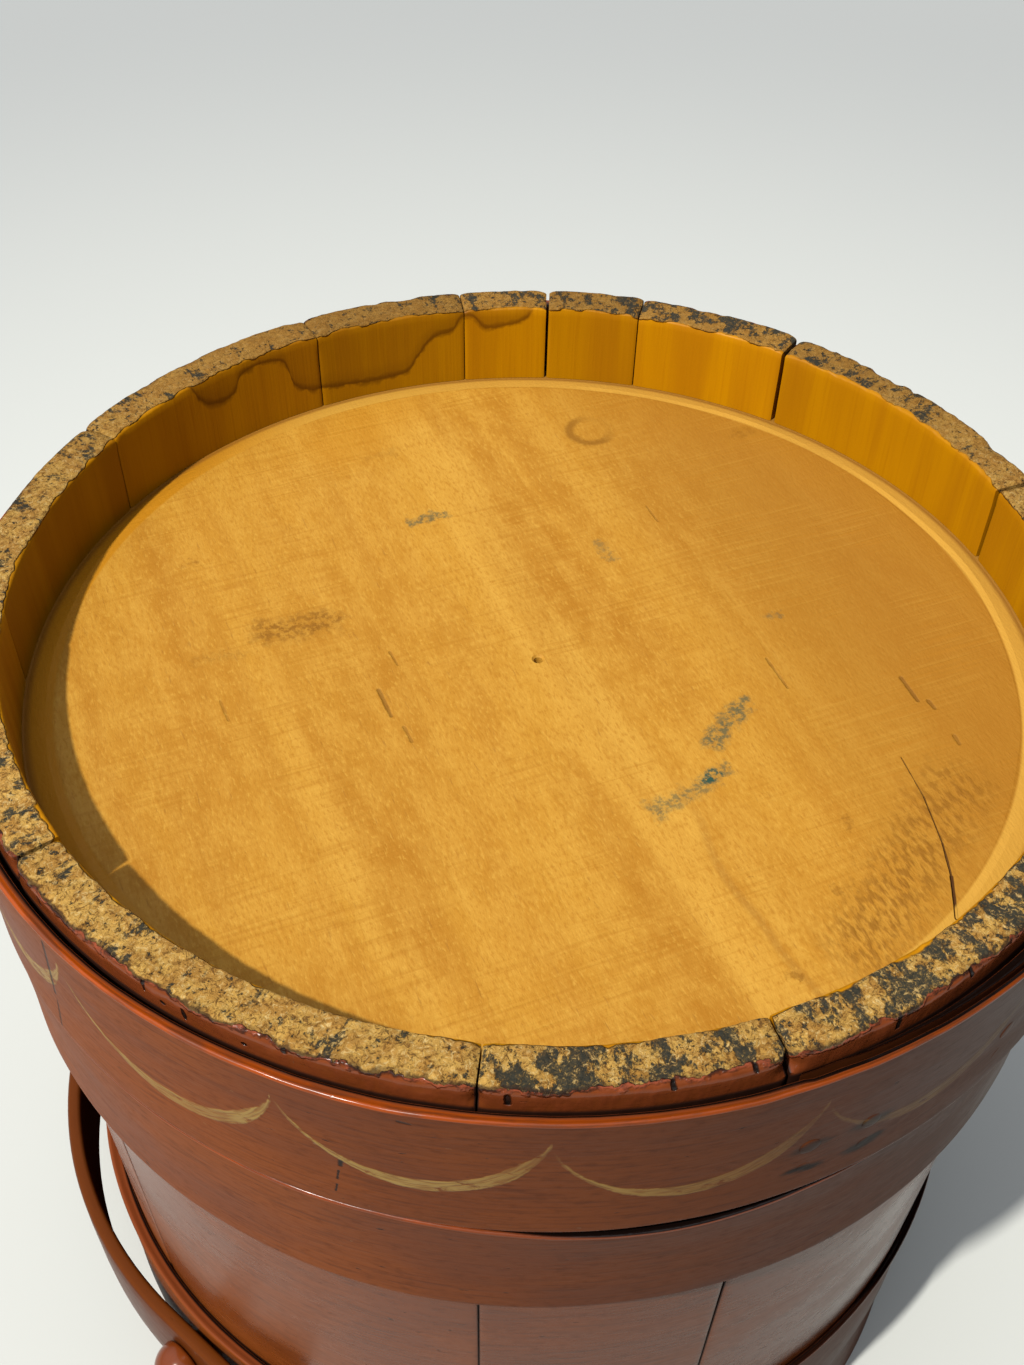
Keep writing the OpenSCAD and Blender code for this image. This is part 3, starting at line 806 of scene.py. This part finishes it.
def stain_board(s, coat, place, flat, ragged):
    """Lays smudges, a warm patch, grain dashes and a ring on the board."""
    smear = s.span(s.noise(place, 1.7, detail=4, rough=0.7), 0.42, 0.57, 0.25, 1.0)
    coat.tint(BLUE_SMUDGE, s.marks(flat, BLUE_MARKS, s.product(ragged, 1.3), soft=0.6), smear)
    coat.tint(MARK_BROWN, s.marks(flat, BROWN_MARKS, s.product(ragged, 1.6), soft=0.6), smear)
    coat.tint(BOARD_WARM, s.span(s.from_line(flat, (41, 97), (22, 93)), 2, 16, 0.45, 0))
    dashes = s.marks(flat, GRAIN_DASHES, s.product(ragged, 0.1))
    coat.tint(CRACK_BROWN, dashes, 0.55)
    coat.rise(dashes, -0.25)
    x, y, _ = s.parts(flat)
    ring_x = s.sum(x, s.product(ragged, 0.3), -RING_AT[0])
    ring_y = s.sum(y, s.product(ragged, 0.3), -RING_AT[1])
    from_ring = s.absolute(s.minus(s.length(ring_x, ring_y), RING_R))
    coat.tint(MARK_BROWN, s.span(from_ring, 0.3, 1.9, 1, 0), s.span(ring_x, -2, 5, 1, 0.15), 0.8)


def tear_board(s, coat, place, grain, flat, ragged):
    """Lays the crack at the front, and the torn grain beside it, on the board."""
    torn = s.span(s.sum(s.from_line(flat, (34, -90), (-12, -101)), ragged), 2, 13, 1, 0)
    rips = s.noise(s.stretch(grain, 0.4, 1, 1), 1.2)
    coat.tint(MARK_BROWN, torn, s.span(rips, 0.42, 0.62, 0.12, 0.8))
    coat.rise(torn, rips, 0.3)
    crack = s.marks(flat, CRACK, s.product(s.wave(place, 4, detail=2), 0.3))
    coat.tint(CRACK_BROWN, crack)
    coat.rise(crack, -0.8)


def board_material():
    """The bare bottom board: wood, stains, one crack, a paler bevel with painted light and shade, and grime
    and painted shade along the staves.
    """
    s = Shading("board_wood")
    place = s.place()
    turn = {"Vector": place, "Angle": math.radians(-GRAIN_AZ)}
    grain = s.node("VectorRotate", turn, rotation_type="Z_AXIS")
    x, y, _ = s.parts(place)
    flat = s.vector(x, y, 0)
    ragged = s.product(s.wave(place, 2.6, detail=4, rough=0.65), 6)
    coat = board_wood(s, place, grain)
    stain_board(s, coat, place, flat, ragged)
    tear_board(s, coat, place, grain, flat, ragged)
    radius = s.length(x, y)
    leftward = s.sum(s.product(x, -0.68), s.product(y, 0.74))
    # The bevel is paler: cleaner wood, with painted sunlight; on the left, where the rim's shadow falls, it
    # takes a deeper colour as painted shade
    bevel_light_and_shade = s.mix(s.span(leftward, 55, 95), BOARD_PALE, BEVEL_IN_SHADE)
    coat.tint(bevel_light_and_shade, s.span(radius, face_r - 0.3, face_r + 0.5), 0.9)
    # Grime and painted shade in the corner against the staves
    coat.tint(BOARD_BROWN, s.span(radius, face_r + 4.4, face_r + 6.4), 0.75)
    return coat.finish(0.12)


def bail_material(name, specular):
    """Dark brown-red paint worn glossy, paler along the strip's edges, with painted shade on its inner face.
    """
    s = Shading(name)
    grain = s.attribute("grain")
    coat = old_paint(s, grain)
    coat.tint(BAIL_BROWN, 0.7)
    # Painted shade on the inner face, which turns towards the bucket
    coat.tint(PAINT_SHADE, s.span(s.parts(grain)[2], 0.3, 1.2, 0.75, 0))
    rub_noise = s.noise(s.stretch(grain, 0.15, 1, 1), 3, detail=4, rough=0.6)
    rubbed = s.span(s.sum(s.attribute("edge", "Fac"), s.product(rub_noise, 0.8)), 0.85, 1.35)
    coat.tint(BAIL_RUBBED, rubbed, 0.7)
    coat.smooth(0.3, rubbed)
    return coat.finish(specular)


def peg_material():
    """The turned pegs: glossy, more orange than the hoops."""
    s = Shading("peg_paint")
    coat = old_paint(s, s.attribute("grain"))
    coat.tint(PEG_ORANGE, 0.75)
    coat.roughen(-0.2)
    coat.height = s.product(coat.height, 0.4)
    return coat.finish(0.3)


def wedge_material():
    """Bare wood with fine fibres."""
    s = Shading("wedge_wood")
    fibres = s.noise(s.stretch(s.place(), 0.08, 1, 1), 0.7, detail=4, rough=0.6)
    colour = s.mix(s.span(fibres, 0.35, 0.7), WEDGE_LIGHT, WEDGE_DEEP)
    return Coat(s, colour, s.span(fibres, 0.3, 0.7, 0.5, 0.7), s.product(fibres, 0.15)).finish(0.3)


# The staves

def stave_section():
    """Outline of a stave from the mouth up the outside, over the foot and down the inside, as (inset, z)."""
    outer = 1.5
    inner = 0.8
    groove_top = board_top - BOARD_EDGE_DROP + 0.1
    groove_low = groove_top - BOARD_EDGE_T - 0.2
    points = [(cone_r(mouth_z) - mouth_outer, mouth_z), (step_r - step_inner, step_z), (0, step_z)]
    points += [(0, z) for z in np.linspace(step_z + 8, second_hoop_low - 2, 13)]
    points += [(0, z) for z in np.linspace(second_hoop_low + 4, foot_hoop_top - 2, 8)]
    points += [(0, z) for z in np.linspace(foot_hoop_top - 0.8, foot_z - outer, 6)]
    points += corner((outer, foot_z - outer), outer, 165, 90, 5)
    points += [(inset, foot_z) for inset in np.linspace(outer, stave_t - inner, 13)[1:-1]]
    points += corner((stave_t - inner, foot_z - inner), inner, 90, 15, 4)
    points += [(stave_t, z) for z in np.linspace(foot_z - 2.5, groove_top, 9)]
    points += [(stave_t - GROOVE_DEPTH, groove_top), (stave_t - GROOVE_DEPTH, groove_low)]
    points += [(stave_t, z) for z in np.linspace(groove_low, mouth_z, 8)]
    return np.array(points)


def make_stave(node, left_seam, right_seam, materials):
    """One stave between two joints, worn at the foot."""
    section = stave_section()
    inset, z = section.T[:, None, :]
    left, left_gap, left_notch = left_seam
    right, right_gap, right_notch = right_seam
    width = math.radians(right - left) * foot_r
    ends = np.array([0, 0.35, 0.9, 1.8])
    middle = np.linspace(2.9, width - 2.9, max(4, int(width / 0.75)))
    arc = np.concatenate([ends, middle, width - ends[::-1]])[:, None]
    side = np.minimum(arc, width - arc)
    opened = 0.25 + 0.75 * smooth_step(step_z + 0.3 * (foot_z - step_z), foot_z, z)
    from_left = np.degrees(0.5 * left_gap * opened / cone_r(z))
    from_right = np.degrees(0.5 * right_gap * opened / cone_r(z))
    az = left + from_left + arc / width * (right - left - from_left - from_right)
    radius = cone_r(z) - inset + 0 * az
    height = z + 0 * az
    flat = round_points(radius, az, height)
    # Wear of the foot, less at the back
    top = smooth_step(foot_z - 5, foot_z - 1, height)
    rough = 0.3 + 0.14 * soft_noise(flat, 9, 1) + 0.14 * soft_noise(flat, 3.1, 2)
    rough = np.clip(rough + 0.22 * soft_noise(flat, 1.3, 3), 0, None)
    near_out = np.exp(-(inset / 2.4) ** 2)
    near_in = smooth_step(stave_t - 2, stave_t, inset)
    calm = 1 - 0.5 * smooth_step(0, 20, az) * (1 - smooth_step(150, 175, az))
    chips = 1.1 * np.clip(soft_noise(flat, 8, 4) + 0.5 * soft_noise(flat, 3, 5) - 0.15, 0, 1)
    joint = 0.6 * np.exp(-side / 0.9)
    stand = rng.uniform(0, 0.5)
    height = height - top * (calm * (rough + chips * near_out) + joint + stand)
    radius = radius - 0.45 * top * near_out * calm * chips
    radius = radius + 0.12 * top * near_in * np.clip(soft_noise(flat, 4, 6), 0, 1)
    # Staves stand a little in or out of each other near the foot
    shift = rng.uniform(-0.35, 0.1)
    radius = radius + shift * smooth_step(foot_z - 26, foot_z, z)
    rounding = 0.3 * np.exp(-side / 0.5)
    radius = radius + np.where(inset < stave_t / 2, -rounding, rounding) * (1 - top)
    # Broken corners at the joints, above the foot hoop
    notch = left_notch * np.exp(-arc / 0.9) + right_notch * np.exp(-(width - arc) / 0.9)
    radius = radius - notch * smooth_step(foot_hoop_top - 1, foot_hoop_top + 1, z) * np.exp(-inset / 2)
    points = round_points(radius, az, height)
    grain = stacked(z, az * ARC, inset) + rng.uniform(0, 400, 3)
    tone = np.full(az.shape, rng.uniform(-1, 1))
    seam = np.clip(1 - side / 0.45, 0, 1) + 0 * z
    # The outside takes the painted materials, up to the middle of the outer arris
    last_painted = np.nonzero(section[:, 1] > foot_z - 0.9)[0][0]
    outside = np.arange(len(section)) < last_painted
    strip = outside & (section[:, 1] > foot_hoop_top - 4)
    slots = sweep_slots(points, np.where(strip, 2, np.where(outside, 0, 1)), cap_slot=1)
    attributes = {"grain": grain, "tone": tone, "seam": seam}
    return finish_piece(f"worn_{node}", points, grid_faces(points), attributes, "bucket", node,
                        materials, face_slots=slots)


# The bottom board

def make_board(material):
    """The bottom board, its edge in the staves' groove, with a planed, slightly cupped face."""
    edge_top = board_top - BOARD_EDGE_DROP
    edge_low = edge_top - BOARD_EDGE_T
    wall_r = cone_r(edge_low) - stave_t - 0.1
    edge_r = wall_r + GROOVE_DEPTH - 0.1
    hole_r = 1
    hole_z = board_top - 5
    section = [(0, hole_z), (0.8 * hole_r, hole_z), (hole_r, board_top - 0.5), (1.5 * hole_r, board_top)]
    section += [(r, board_top) for r in np.linspace(3, face_r - 1.5, 72)]
    section += [(face_r - 0.25, board_top), (face_r + 0.25, board_top - 0.12)]
    for share in (0.3, 0.6, 1.0):
        section.append((face_r + share * (wall_r - face_r), board_top - share * BOARD_EDGE_DROP))
    section += [(edge_r, edge_top), (edge_r, edge_low), (wall_r, edge_low)]
    section += [(r, board_low) for r in np.linspace(face_r, 0, 12)]
    az, radius, z = turned(section, 480)
    flat = round_points(radius, az, z)
    on_top = (z > board_top - 0.4) & (radius < face_r + 1)
    along_grain = round_points(radius, az - GRAIN_AZ, 0)
    planed = along_grain * np.array([0.15, 1, 1])
    sink = 0.16 + 0.16 * soft_noise(planed, 14, 11) + 0.1 * soft_noise(flat, 30, 12)
    cup = 0.35 * (along_grain[..., 1] / face_r) ** 2
    bevel_zone = (radius > face_r - 1) & (radius < face_r + 3) & (z > board_low + 4)
    radius = radius + np.where(bevel_zone, 0.7 * soft_noise(flat, 25, 13), 0)
    z = z - np.where(on_top & (radius > 1.2 * hole_r), np.clip(sink + cup, 0, 1), 0)
    points = round_points(radius, az, z)
    return finish_piece("bottom_disc", points, grid_faces(points, True), {}, "bucket", "bottom_board",
                        [material], sharp=10)


# Hoops and the lid's rim are bent strips whose thinned ends lap

LAP_AZ = 30


def lap_profile(back, rise):
    """How far a lapped end stands up, at angles before the end."""
    return rise * np.clip(1 - back / LAP_SPAN, 0, 1) ** 1.8


def band_section(thick, half):
    """Outline of a strip as (out, up) pairs, from its lower outer corner."""
    r_out = 0.75
    r_in = 0.4
    section = corner((thick - r_out, -half + r_out), r_out, -80, -5, 4)
    section += [(thick, h) for h in (-half + 1.3, *np.linspace(-half + 3, half - 3, 9), half - 1.3)]
    section += corner((thick - r_out, half - r_out), r_out, 5, 85, 5)
    section += [(share * thick, half) for share in (0.7, 0.55, 0.35)]
    section += corner((r_in, half - r_in), r_in, 100, 175, 3)
    section += [(0, half - d) for d in (1.2, 2.2, 3.4, 4.8, 6.5)]
    section += [(0, h) for h in np.linspace(0, -half + 2, 3)]
    section += corner((r_in, -half + r_in), r_in, 185, 260, 3)
    return np.array(section)


def plain_end(across, share):
    return 0.45


# Painted shade over the whole edge face
def shaded_end(across, share):
    return 1.0


def mouth_end(across, share):
    """Painted shade where the corner is hardly rubbed, elsewhere plain paint with a line of painted shade
    inside.
    """
    inside = smooth_step(0.3, 0.1, across)
    return np.maximum(np.maximum(0.45, inside), 0.9 * smooth_step(0.21, 0.14, share))


def make_band(name, node, low, high, bore, thick, rise, lap_az, seed, material, flare, body="bucket",
              drop=bumps(0), slim=bumps(1), rub=bumps(0.2), ends=plain_end, gloss=None):
    """bore(z) is the inner radius; flare(az) thins the top edge from inside and drop(az) lowers it;
    slim(az) is its share of the full thickness; rub(az) is how far its outer corner is rubbed;
    ends(across, rub) is how far its edge faces take the strip's paint and painted shade; gloss is the
    material of its top edge."""
    half = (high - low) / 2
    middle = (low + high) / 2
    inner_end = lap_az - 360 - LAP_AZ
    outer_start = lap_az - LAP_AZ
    az = np.arange(inner_end, lap_az + 0.01, 0.75)[:, None]
    first_lap = az < inner_end + LAP_AZ
    section = band_section(thick, half)
    out, up = section.T[:, None, :]
    across = out / thick
    # The inner and outer face, thinned to a tenth at both ends
    skived = np.clip((az - inner_end) / LAP_AZ, 0.1, 1)
    laid_on = np.clip((az - outer_start) / LAP_AZ, 0.1, 1)
    under = np.where(az > outer_start, thick * laid_on + 0.12, 0)
    over = np.where(first_lap, thick * skived - 0.05, (thick + lap_profile(lap_az - az, rise)) * slim(az))
    # Wavering edges
    spot = round_points(cone_r(low), az, 0)
    waver = 0.35 * soft_noise(spot, 28, seed)
    ragged = 0.35 * soft_noise(spot, 5, seed + 1)
    high_edge = smooth_step(0.2, 1.0, up / half)
    low_edge = smooth_step(0.2, 1.0, -up / half)
    top_face = smooth_step(half - 0.7, half - 0.1, up)
    z = middle + up + 0.3 * low_edge * waver
    z = z + high_edge * (-0.25 + 0.6 * waver + 0.4 * ragged - drop(az))
    z = z - 0.6 * top_face * (1 - smooth_step(0.3, 0.8, across))
    full = np.clip((over - under) / thick, 0, 1)
    stand = flare(az) * full * smooth_step(6.5, 0.8, half - up) * (1 - across) + 0.2 * low_edge
    hollow = 0.25 * (1 - (up / half) ** 2)
    dents = 0.12 * soft_noise(round_points(cone_r(low), az, up), 16, seed + 2)
    radius = bore(middle + up) + under + across * (over - under - hollow + dents) + stand
    points = round_points(radius, az, z)
    # Rubbed corners, and the strip's paint and painted shade on the edge faces
    share = rub(az)
    edge = smooth_step(half - 1.0, half - 0.3, np.abs(up)) * np.clip(share, 0, 1)
    edge = edge * smooth_step(0.85 - 0.5 * share, 1 - 0.35 * share, across)
    edge = np.where(first_lap, 0, edge)
    end_paint_and_shade = smooth_step(half - 0.7, half - 0.1, np.abs(up)) * (1 - edge) * ends(across, share)
    attributes = {"grain": stacked(az * ARC, z, radius), "edge": edge, "end_paint_and_shade": end_paint_and_shade}
    shiny = (section[:, 1] > half - 1.1) & (section[:, 0] > 0.3 * thick)
    slots = sweep_slots(points, shiny & np.roll(shiny, -1))
    return finish_piece(name, points, grid_faces(points), attributes, body, node,
                        [material, gloss or material], face_slots=slots)


# The bail

bail_half = cone_r(mouth_hoop_top) + HOOP_FIT + HOOP_T + BAIL_GAP
bail_reach = bail_half + BAIL_RISE
crown_r = bail_half - BOW_SHOULDER
crown_v = bail_reach - crown_r
crown_lift = crown_v - BAIL_LEG
side_r = (bail_half ** 2 + crown_lift ** 2 - crown_r ** 2) / (2 * BOW_SHOULDER)
side_c = side_r - bail_half
bow_out = bail_reach + BAIL_T
bail_tilt = math.asin(pivot_z / math.hypot(bow_out, BAIL_W / 2)) - math.atan(BAIL_W / 2 / bow_out)


def half_bow():
    """Stations along one half of the bail from its end to the crown: point, outward turn and half width."""
    stations = []
    for t in np.radians(np.linspace(88, 0, 9)):
        stations.append((bail_half, -BAIL_TAIL - BAIL_W / 2 * math.sin(t), 0, math.cos(t)))
    for v in np.linspace(-BAIL_TAIL, BAIL_LEG, 9)[1:]:
        stations.append((bail_half, v, 0, 1))
    meet = math.degrees(math.atan2(crown_lift, side_c))
    for centre, radius, turns in (((-side_c, BAIL_LEG), side_r, np.linspace(0, meet, 36)),
                                  ((0, crown_v), crown_r, np.linspace(meet, 90, 60))):
        for t in turns[1:]:
            turn = math.radians(t)
            stations.append((centre[0] + radius * math.cos(turn), centre[1] + radius * math.sin(turn), t, 1))
    return stations


def make_bail(outside, inside):
    """The bent strip, lying down at its rest angle, with a matte inner face in painted shade."""
    right = half_bow()
    left = [(-u, v, 180 - t, w) for u, v, t, w in right[-2::-1]]
    path = np.array(right + left)
    path_u, path_v, path_turn, path_width = path.T[:, :, None]
    r_edge = 1.3
    half = BAIL_W / 2
    section = corner((BAIL_T - r_edge, -half + r_edge), r_edge, -85, -5, 5)
    section += [(BAIL_T + 0.15, h) for h in (-half / 2, 0, half / 2)]
    section += corner((BAIL_T - r_edge, half - r_edge), r_edge, 5, 85, 5)
    section += corner((r_edge, half - r_edge), r_edge, 95, 175, 5)
    section += [(-0.05, h) for h in (half / 2, 0, -half / 2)]
    section += corner((r_edge, -half + r_edge), r_edge, 185, 265, 5)
    section = np.array(section)
    out, section_w = section.T[:, None, :]
    u = path_u + out * np.cos(np.radians(path_turn))
    v = path_v + out * np.sin(np.radians(path_turn))
    steps = np.hypot(np.diff(path[:, 0]), np.diff(path[:, 1]))
    length = np.concatenate([[0], np.cumsum(steps)])[:, None]
    w = section_w * np.maximum(path_width, 0.04) + 0.25 * soft_noise(stacked(length, 0, 0), 40, 31)
    points = stacked(u, v * math.cos(bail_tilt) + w * math.sin(bail_tilt),
                     pivot_z - v * math.sin(bail_tilt) + w * math.cos(bail_tilt))
    # It just clears the floor
    points[..., 2] = np.maximum(points[..., 2], 0.05)
    edge = np.clip((np.abs(section_w) - half + 2.5) / 2.5, 0, 1) + 0 * w
    edge_middles = (section[:, 0] + np.roll(section[:, 0], -1)) / 2
    attributes = {"grain": stacked(length, w, out), "edge": edge}
    slots = sweep_slots(points, edge_middles < 0.3)
    return finish_piece("bent_bail", points, grid_faces(points), attributes, "bail", "bail",
                        [outside, inside], face_slots=slots)


# Turned pieces

def make_peg(node, side, material):
    """A turned peg from its inner end to its domed knob; side is 1 or -1 along X."""
    start = cone_r(pivot_z) - stave_t - PEG_END + 0.25
    knob = bail_half + BAIL_T + KNOB_GAP
    section = [(start, 0), (start, PEG_R - 0.8), (start + 0.8, PEG_R), (knob, PEG_R)]
    section += [(knob, KNOB_R - 0.9), (knob + 0.25, KNOB_R - 0.3), (knob + 0.9, KNOB_R)]
    for t in np.radians(np.linspace(8, 90, 14)):
        section.append((knob + KNOB_BASE + 0.92 * KNOB_R * math.sin(t) ** 1.1, KNOB_R * math.cos(t) ** 0.9))
    section[-1] = (section[-1][0], 0)
    grain = lathe(section, 48)
    points = grain * np.array([side, side, 1]) + np.array([0, 0, pivot_z])
    return finish_piece(f"turned_{node}", points, grid_faces(points, True), {"grain": grain}, "bucket", node,
                        [material], sharp=55)


def make_tacks(name, node, places, tilt, material, body="bucket"):
    """Hammered tacks under the hoop's paint; a place is (azimuth, height, seat radius)."""
    head = 2.2
    section = [(-6, 0), (-6, 0.4), (-4, 0.9), (-0.5, 0.9), (-0.5, head)]
    section += [(-0.25, head), (-0.16, head * 0.9), (-0.1, head * 0.6), (-0.08, 0)]
    one = lathe(section, 24)
    count = one.shape[0] * one.shape[1]
    tacks, faces = [], []
    for k, (az, z, seat) in enumerate(places):
        bent = 1 + 0.07 * soft_noise(one + az / MM, 2, 41)
        shape = one * stacked(1, bent, bent)
        place = Matrix.Rotation(math.radians(az), 4, "Z") @ Matrix.Translation((seat, 0, z))
        place = place @ Matrix.Rotation(tilt, 4, "Y")
        tacks.append(shape.reshape(-1, 3) @ np.array(place.to_3x3()).T + np.array(place.translation))
        faces += [[k * count + i for i in face] for face in grid_faces(one, True)]
    points = np.concatenate(tacks)
    x, y, z = points.T
    grain = stacked(np.degrees(np.arctan2(y, x)) % 360 * ARC, z, np.hypot(x, y))
    return finish_piece(name, points, faces, {"grain": grain}, body, node, [material])


def lap_tack_places(low, high, lap_az):
    places = []
    for back, row in LAP_TACKS:
        z = low + row * (high - low)
        places.append((lap_az - back, z, hoop_bore(z) + HOOP_T + lap_profile(back, LAP_RISE)))
    return places


# The lid

def make_lid_board(material):
    """The lid's round board, with slightly rounded edges."""
    edge = 0.9
    reach = np.linspace(12, lid_board_r - 4, 10)
    section = [(r, lid_board_low) for r in (0, *reach)]
    section += corner((lid_board_r - edge, lid_board_low + edge), edge, -85, 0, 4)
    section += corner((lid_board_r - edge, lid_board_top - edge), edge, 0, 85, 4)
    section += [(r, lid_board_top) for r in (*reach[::-1], 0)]
    az, radius, z = turned(section, 192)
    points = round_points(radius, az, z)
    sink = 0.12 * (1 + soft_noise(points * np.array([1, 0.15, 1]), 12, 51))
    outer_face = z < lid_board_low + 0.25 * (lid_board_top - lid_board_low)
    points[..., 2] += np.where(outer_face, 0.5 * sink, -sink)
    worn = 0.8 * smooth_step(lid_board_r - 3, lid_board_r, radius)
    return finish_piece("lid_disc", points, grid_faces(points, True),
                        {"grain": points[..., [1, 0, 2]], "edge": worn}, "lid", "lid_board",
                        [material])


# Making the object

stave_materials = [stave_material("stave_paint", 0.1), stave_material("stave_bare", 0.08),
                   stave_material("stave_gloss", 0.25)]
for number, seams in enumerate(zip(SEAMS, SEAMS[1:]), 1):
    make_stave(f"stave_{number:02d}", *seams, stave_materials)
make_board(board_material())

# Each hoop's lower and upper edge, lap, noise seed, paint and shape
hoop_gloss = hoop_material("hoop_edge_paint", specular=0.25)
HOOPS = {
    "foot": (foot_hoop_low, foot_hoop_top, FOOT_LAP, 61, {"swags": True, "rust": 0.95}, {
        "flare": bumps(0.8, (0.4, 240, 22), (0.4, 184, 10)),
        "rub": bumps(1.1, (0.4, 215, 50), (-0.35, 262, 22)), "ends": shaded_end, "gloss": hoop_gloss}),
    "second": (second_hoop_low, second_hoop_top, SECOND_LAP, 71, {}, {
        "flare": bumps(0.15, (0.5, 195, 25), (0.4, 10, 40)), "drop": bumps(0, (2.8, 235, 14)),
        "rub": bumps(0.3, (0.5, 206, 16), (-0.3, 238, 16)), "ends": shaded_end, "gloss": hoop_gloss}),
    "mouth": (step_z, mouth_hoop_top, MOUTH_LAP, 81, {}, {
        "flare": bumps(0.2, (0.6, 213, 18), (0.5, 288, 28)), "slim": bumps(1, (-0.5, 268, 38)),
        "rub": bumps(0.25, (-0.25, 280, 45)), "ends": mouth_end}),
}
hoop_tacks = []
for kind, (low, high, lap_az, seed, paint, shape) in HOOPS.items():
    places = lap_tack_places(low, high, lap_az)
    # The tacks nearest a lap's end are still under paint
    material = hoop_material(f"{kind}_hoop_paint", tacks=places[2:], **paint)
    make_band(f"painted_{kind}_hoop", f"{kind}_hoop", low, high, hoop_bore, HOOP_T, LAP_RISE, lap_az, seed,
              material, **shape)
    hoop_tacks.append((kind, places, material))
for kind, places, material in hoop_tacks:
    make_tacks(f"{kind}_tack_heads", f"{kind}_hoop_tacks", places, math.atan(cone_slope), material)

make_bail(bail_material("bail_paint", 0.05), bail_material("bail_inside", 0.0))
peg_paint = peg_material()
make_peg("right_peg", 1, peg_paint)
make_peg("left_peg", -1, peg_paint)
wedge_wood = wedge_material()
for name in ("left_wedge", "right_wedge"):
    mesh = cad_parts[name].data
    mesh.materials.clear()
    mesh.materials.append(wedge_wood)

lid_tacks = []
for k in range(LID_TACKS):
    tack_az = (k + 0.5) * 360 / LID_TACKS
    rise = lap_profile((LID_LAP - tack_az) % 360, LID_LAP_RISE)
    lid_tacks.append((tack_az, (lid_board_low + lid_board_top) / 2, lid_bore_r + LID_RIM_T + rise))
lid_paint = hoop_material("lid_paint", tacks=lid_tacks)
make_lid_board(hoop_material("lid_board_paint"))
make_band("painted_lid_rim", "lid_rim", lid_rim_low, lid_rim_top, lambda z: lid_bore_r + 0 * z, LID_RIM_T,
          LID_LAP_RISE, LID_LAP, 91, lid_paint, bumps(0.1), body="lid")
make_tacks("lid_tack_heads", "lid_rim_tacks", lid_tacks, 0.0, lid_paint, body="lid")

# Floor

scene = bpy.context.scene
scene.view_settings.view_transform = "Standard"

FLOOR_R = 4000
FLOOR_Z = -0.2
FLOOR_SIDES = 96
FLOOR_NEAR = (0.335, 0.346, 0.328)
FLOOR_FAR = (0.22, 0.23, 0.228)
floor_rim = round_points(FLOOR_R, np.linspace(0, 360, FLOOR_SIDES + 1)[:-1], FLOOR_Z) * MM
floor_mesh = bpy.data.meshes.new("floor")
floor_mesh.from_pydata(floor_rim.tolist(), [], [list(range(FLOOR_SIDES))])
floor = bpy.data.objects.new("floor", floor_mesh)
scene.collection.objects.link(floor)
s = Shading("floor_pale")
x, y, _ = s.parts(s.place())
floor_tone = s.mix(s.span(s.length(x, y), 250, 900), FLOOR_NEAR, FLOOR_FAR)
floor_mesh.materials.append(s.shade({"Base Color": floor_tone, "Roughness": 0.7, "Specular IOR Level": 0.2}))

# A wide soft light overhead, on the sun's side, and a pale band along the horizon

SKY_FROM = (-0.3, 0.25, 0.92)
SKY_COLOUR = (0.9, 0.93, 1.0)
SKY_NEAR = 1.5
SKY_AWAY = 0.03
HORIZON = 0.42
world = bpy.data.worlds.new("sky")
scene.world = world
world.use_nodes = True
sky = Nodes(world.node_tree)
outward = sky.node("TexCoord", {}, "Generated")
towards = sky.vector_math("DOT_PRODUCT", outward, SKY_FROM, output="Value")
glow = sky.span(towards, 0, 1, SKY_AWAY, SKY_NEAR)
band = sky.span(sky.parts(outward)[2], 0.04, 0.3, HORIZON, 0)
background = sky.tree.nodes["Background"]
sky.put(background.inputs["Strength"], sky.most(glow, band))
sky.put(background.inputs["Color"], SKY_COLOUR)

SUN_FROM = 181.5
SUN_HEIGHT = 53.8
sun = bpy.data.lights.new("key", "SUN")
sun.energy = 6.8
sun.angle = math.radians(2)
sun.color = (1.0, 0.96, 0.9)
key = bpy.data.objects.new("key", sun)
key.rotation_euler = (math.radians(90 - SUN_HEIGHT), 0, math.radians(SUN_FROM + 90))
scene.collection.objects.link(key)

# The camera is given round the foot ring's centre, turned by VIEW_TURN about the bucket's axis

VIEW_TURN = -47.5
PHOTO_LONG_PX = 1365
FOCAL_PX = 1750
SENSOR = 36
YAW, PITCH, ROLL = math.radians(-1.151), math.radians(43.986), math.radians(1.357)
back_off, rise_up = 2.2922 * foot_r, 1.9977 * foot_r
ahead = Vector((math.sin(YAW) * math.cos(PITCH), math.cos(YAW) * math.cos(PITCH), -math.sin(PITCH)))
right = Vector((math.cos(YAW), -math.sin(YAW), 0))
up = right.cross(ahead)
right_rolled = math.cos(ROLL) * right + math.sin(ROLL) * up
up_rolled = -math.sin(ROLL) * right + math.cos(ROLL) * up
axes = Matrix((right_rolled, up_rolled, -ahead)).transposed().to_4x4()
camera_data = bpy.data.cameras.new("camera")
camera_data.sensor_width = SENSOR
camera_data.lens = FOCAL_PX * SENSOR / PHOTO_LONG_PX
camera = bpy.data.objects.new("camera", camera_data)
camera.matrix_world = (Matrix.Rotation(math.radians(VIEW_TURN), 4, "Z")
                       @ Matrix.Translation((0, -back_off * MM, (foot_z + rise_up) * MM)) @ axes)
scene.collection.objects.link(camera)
scene.camera = camera
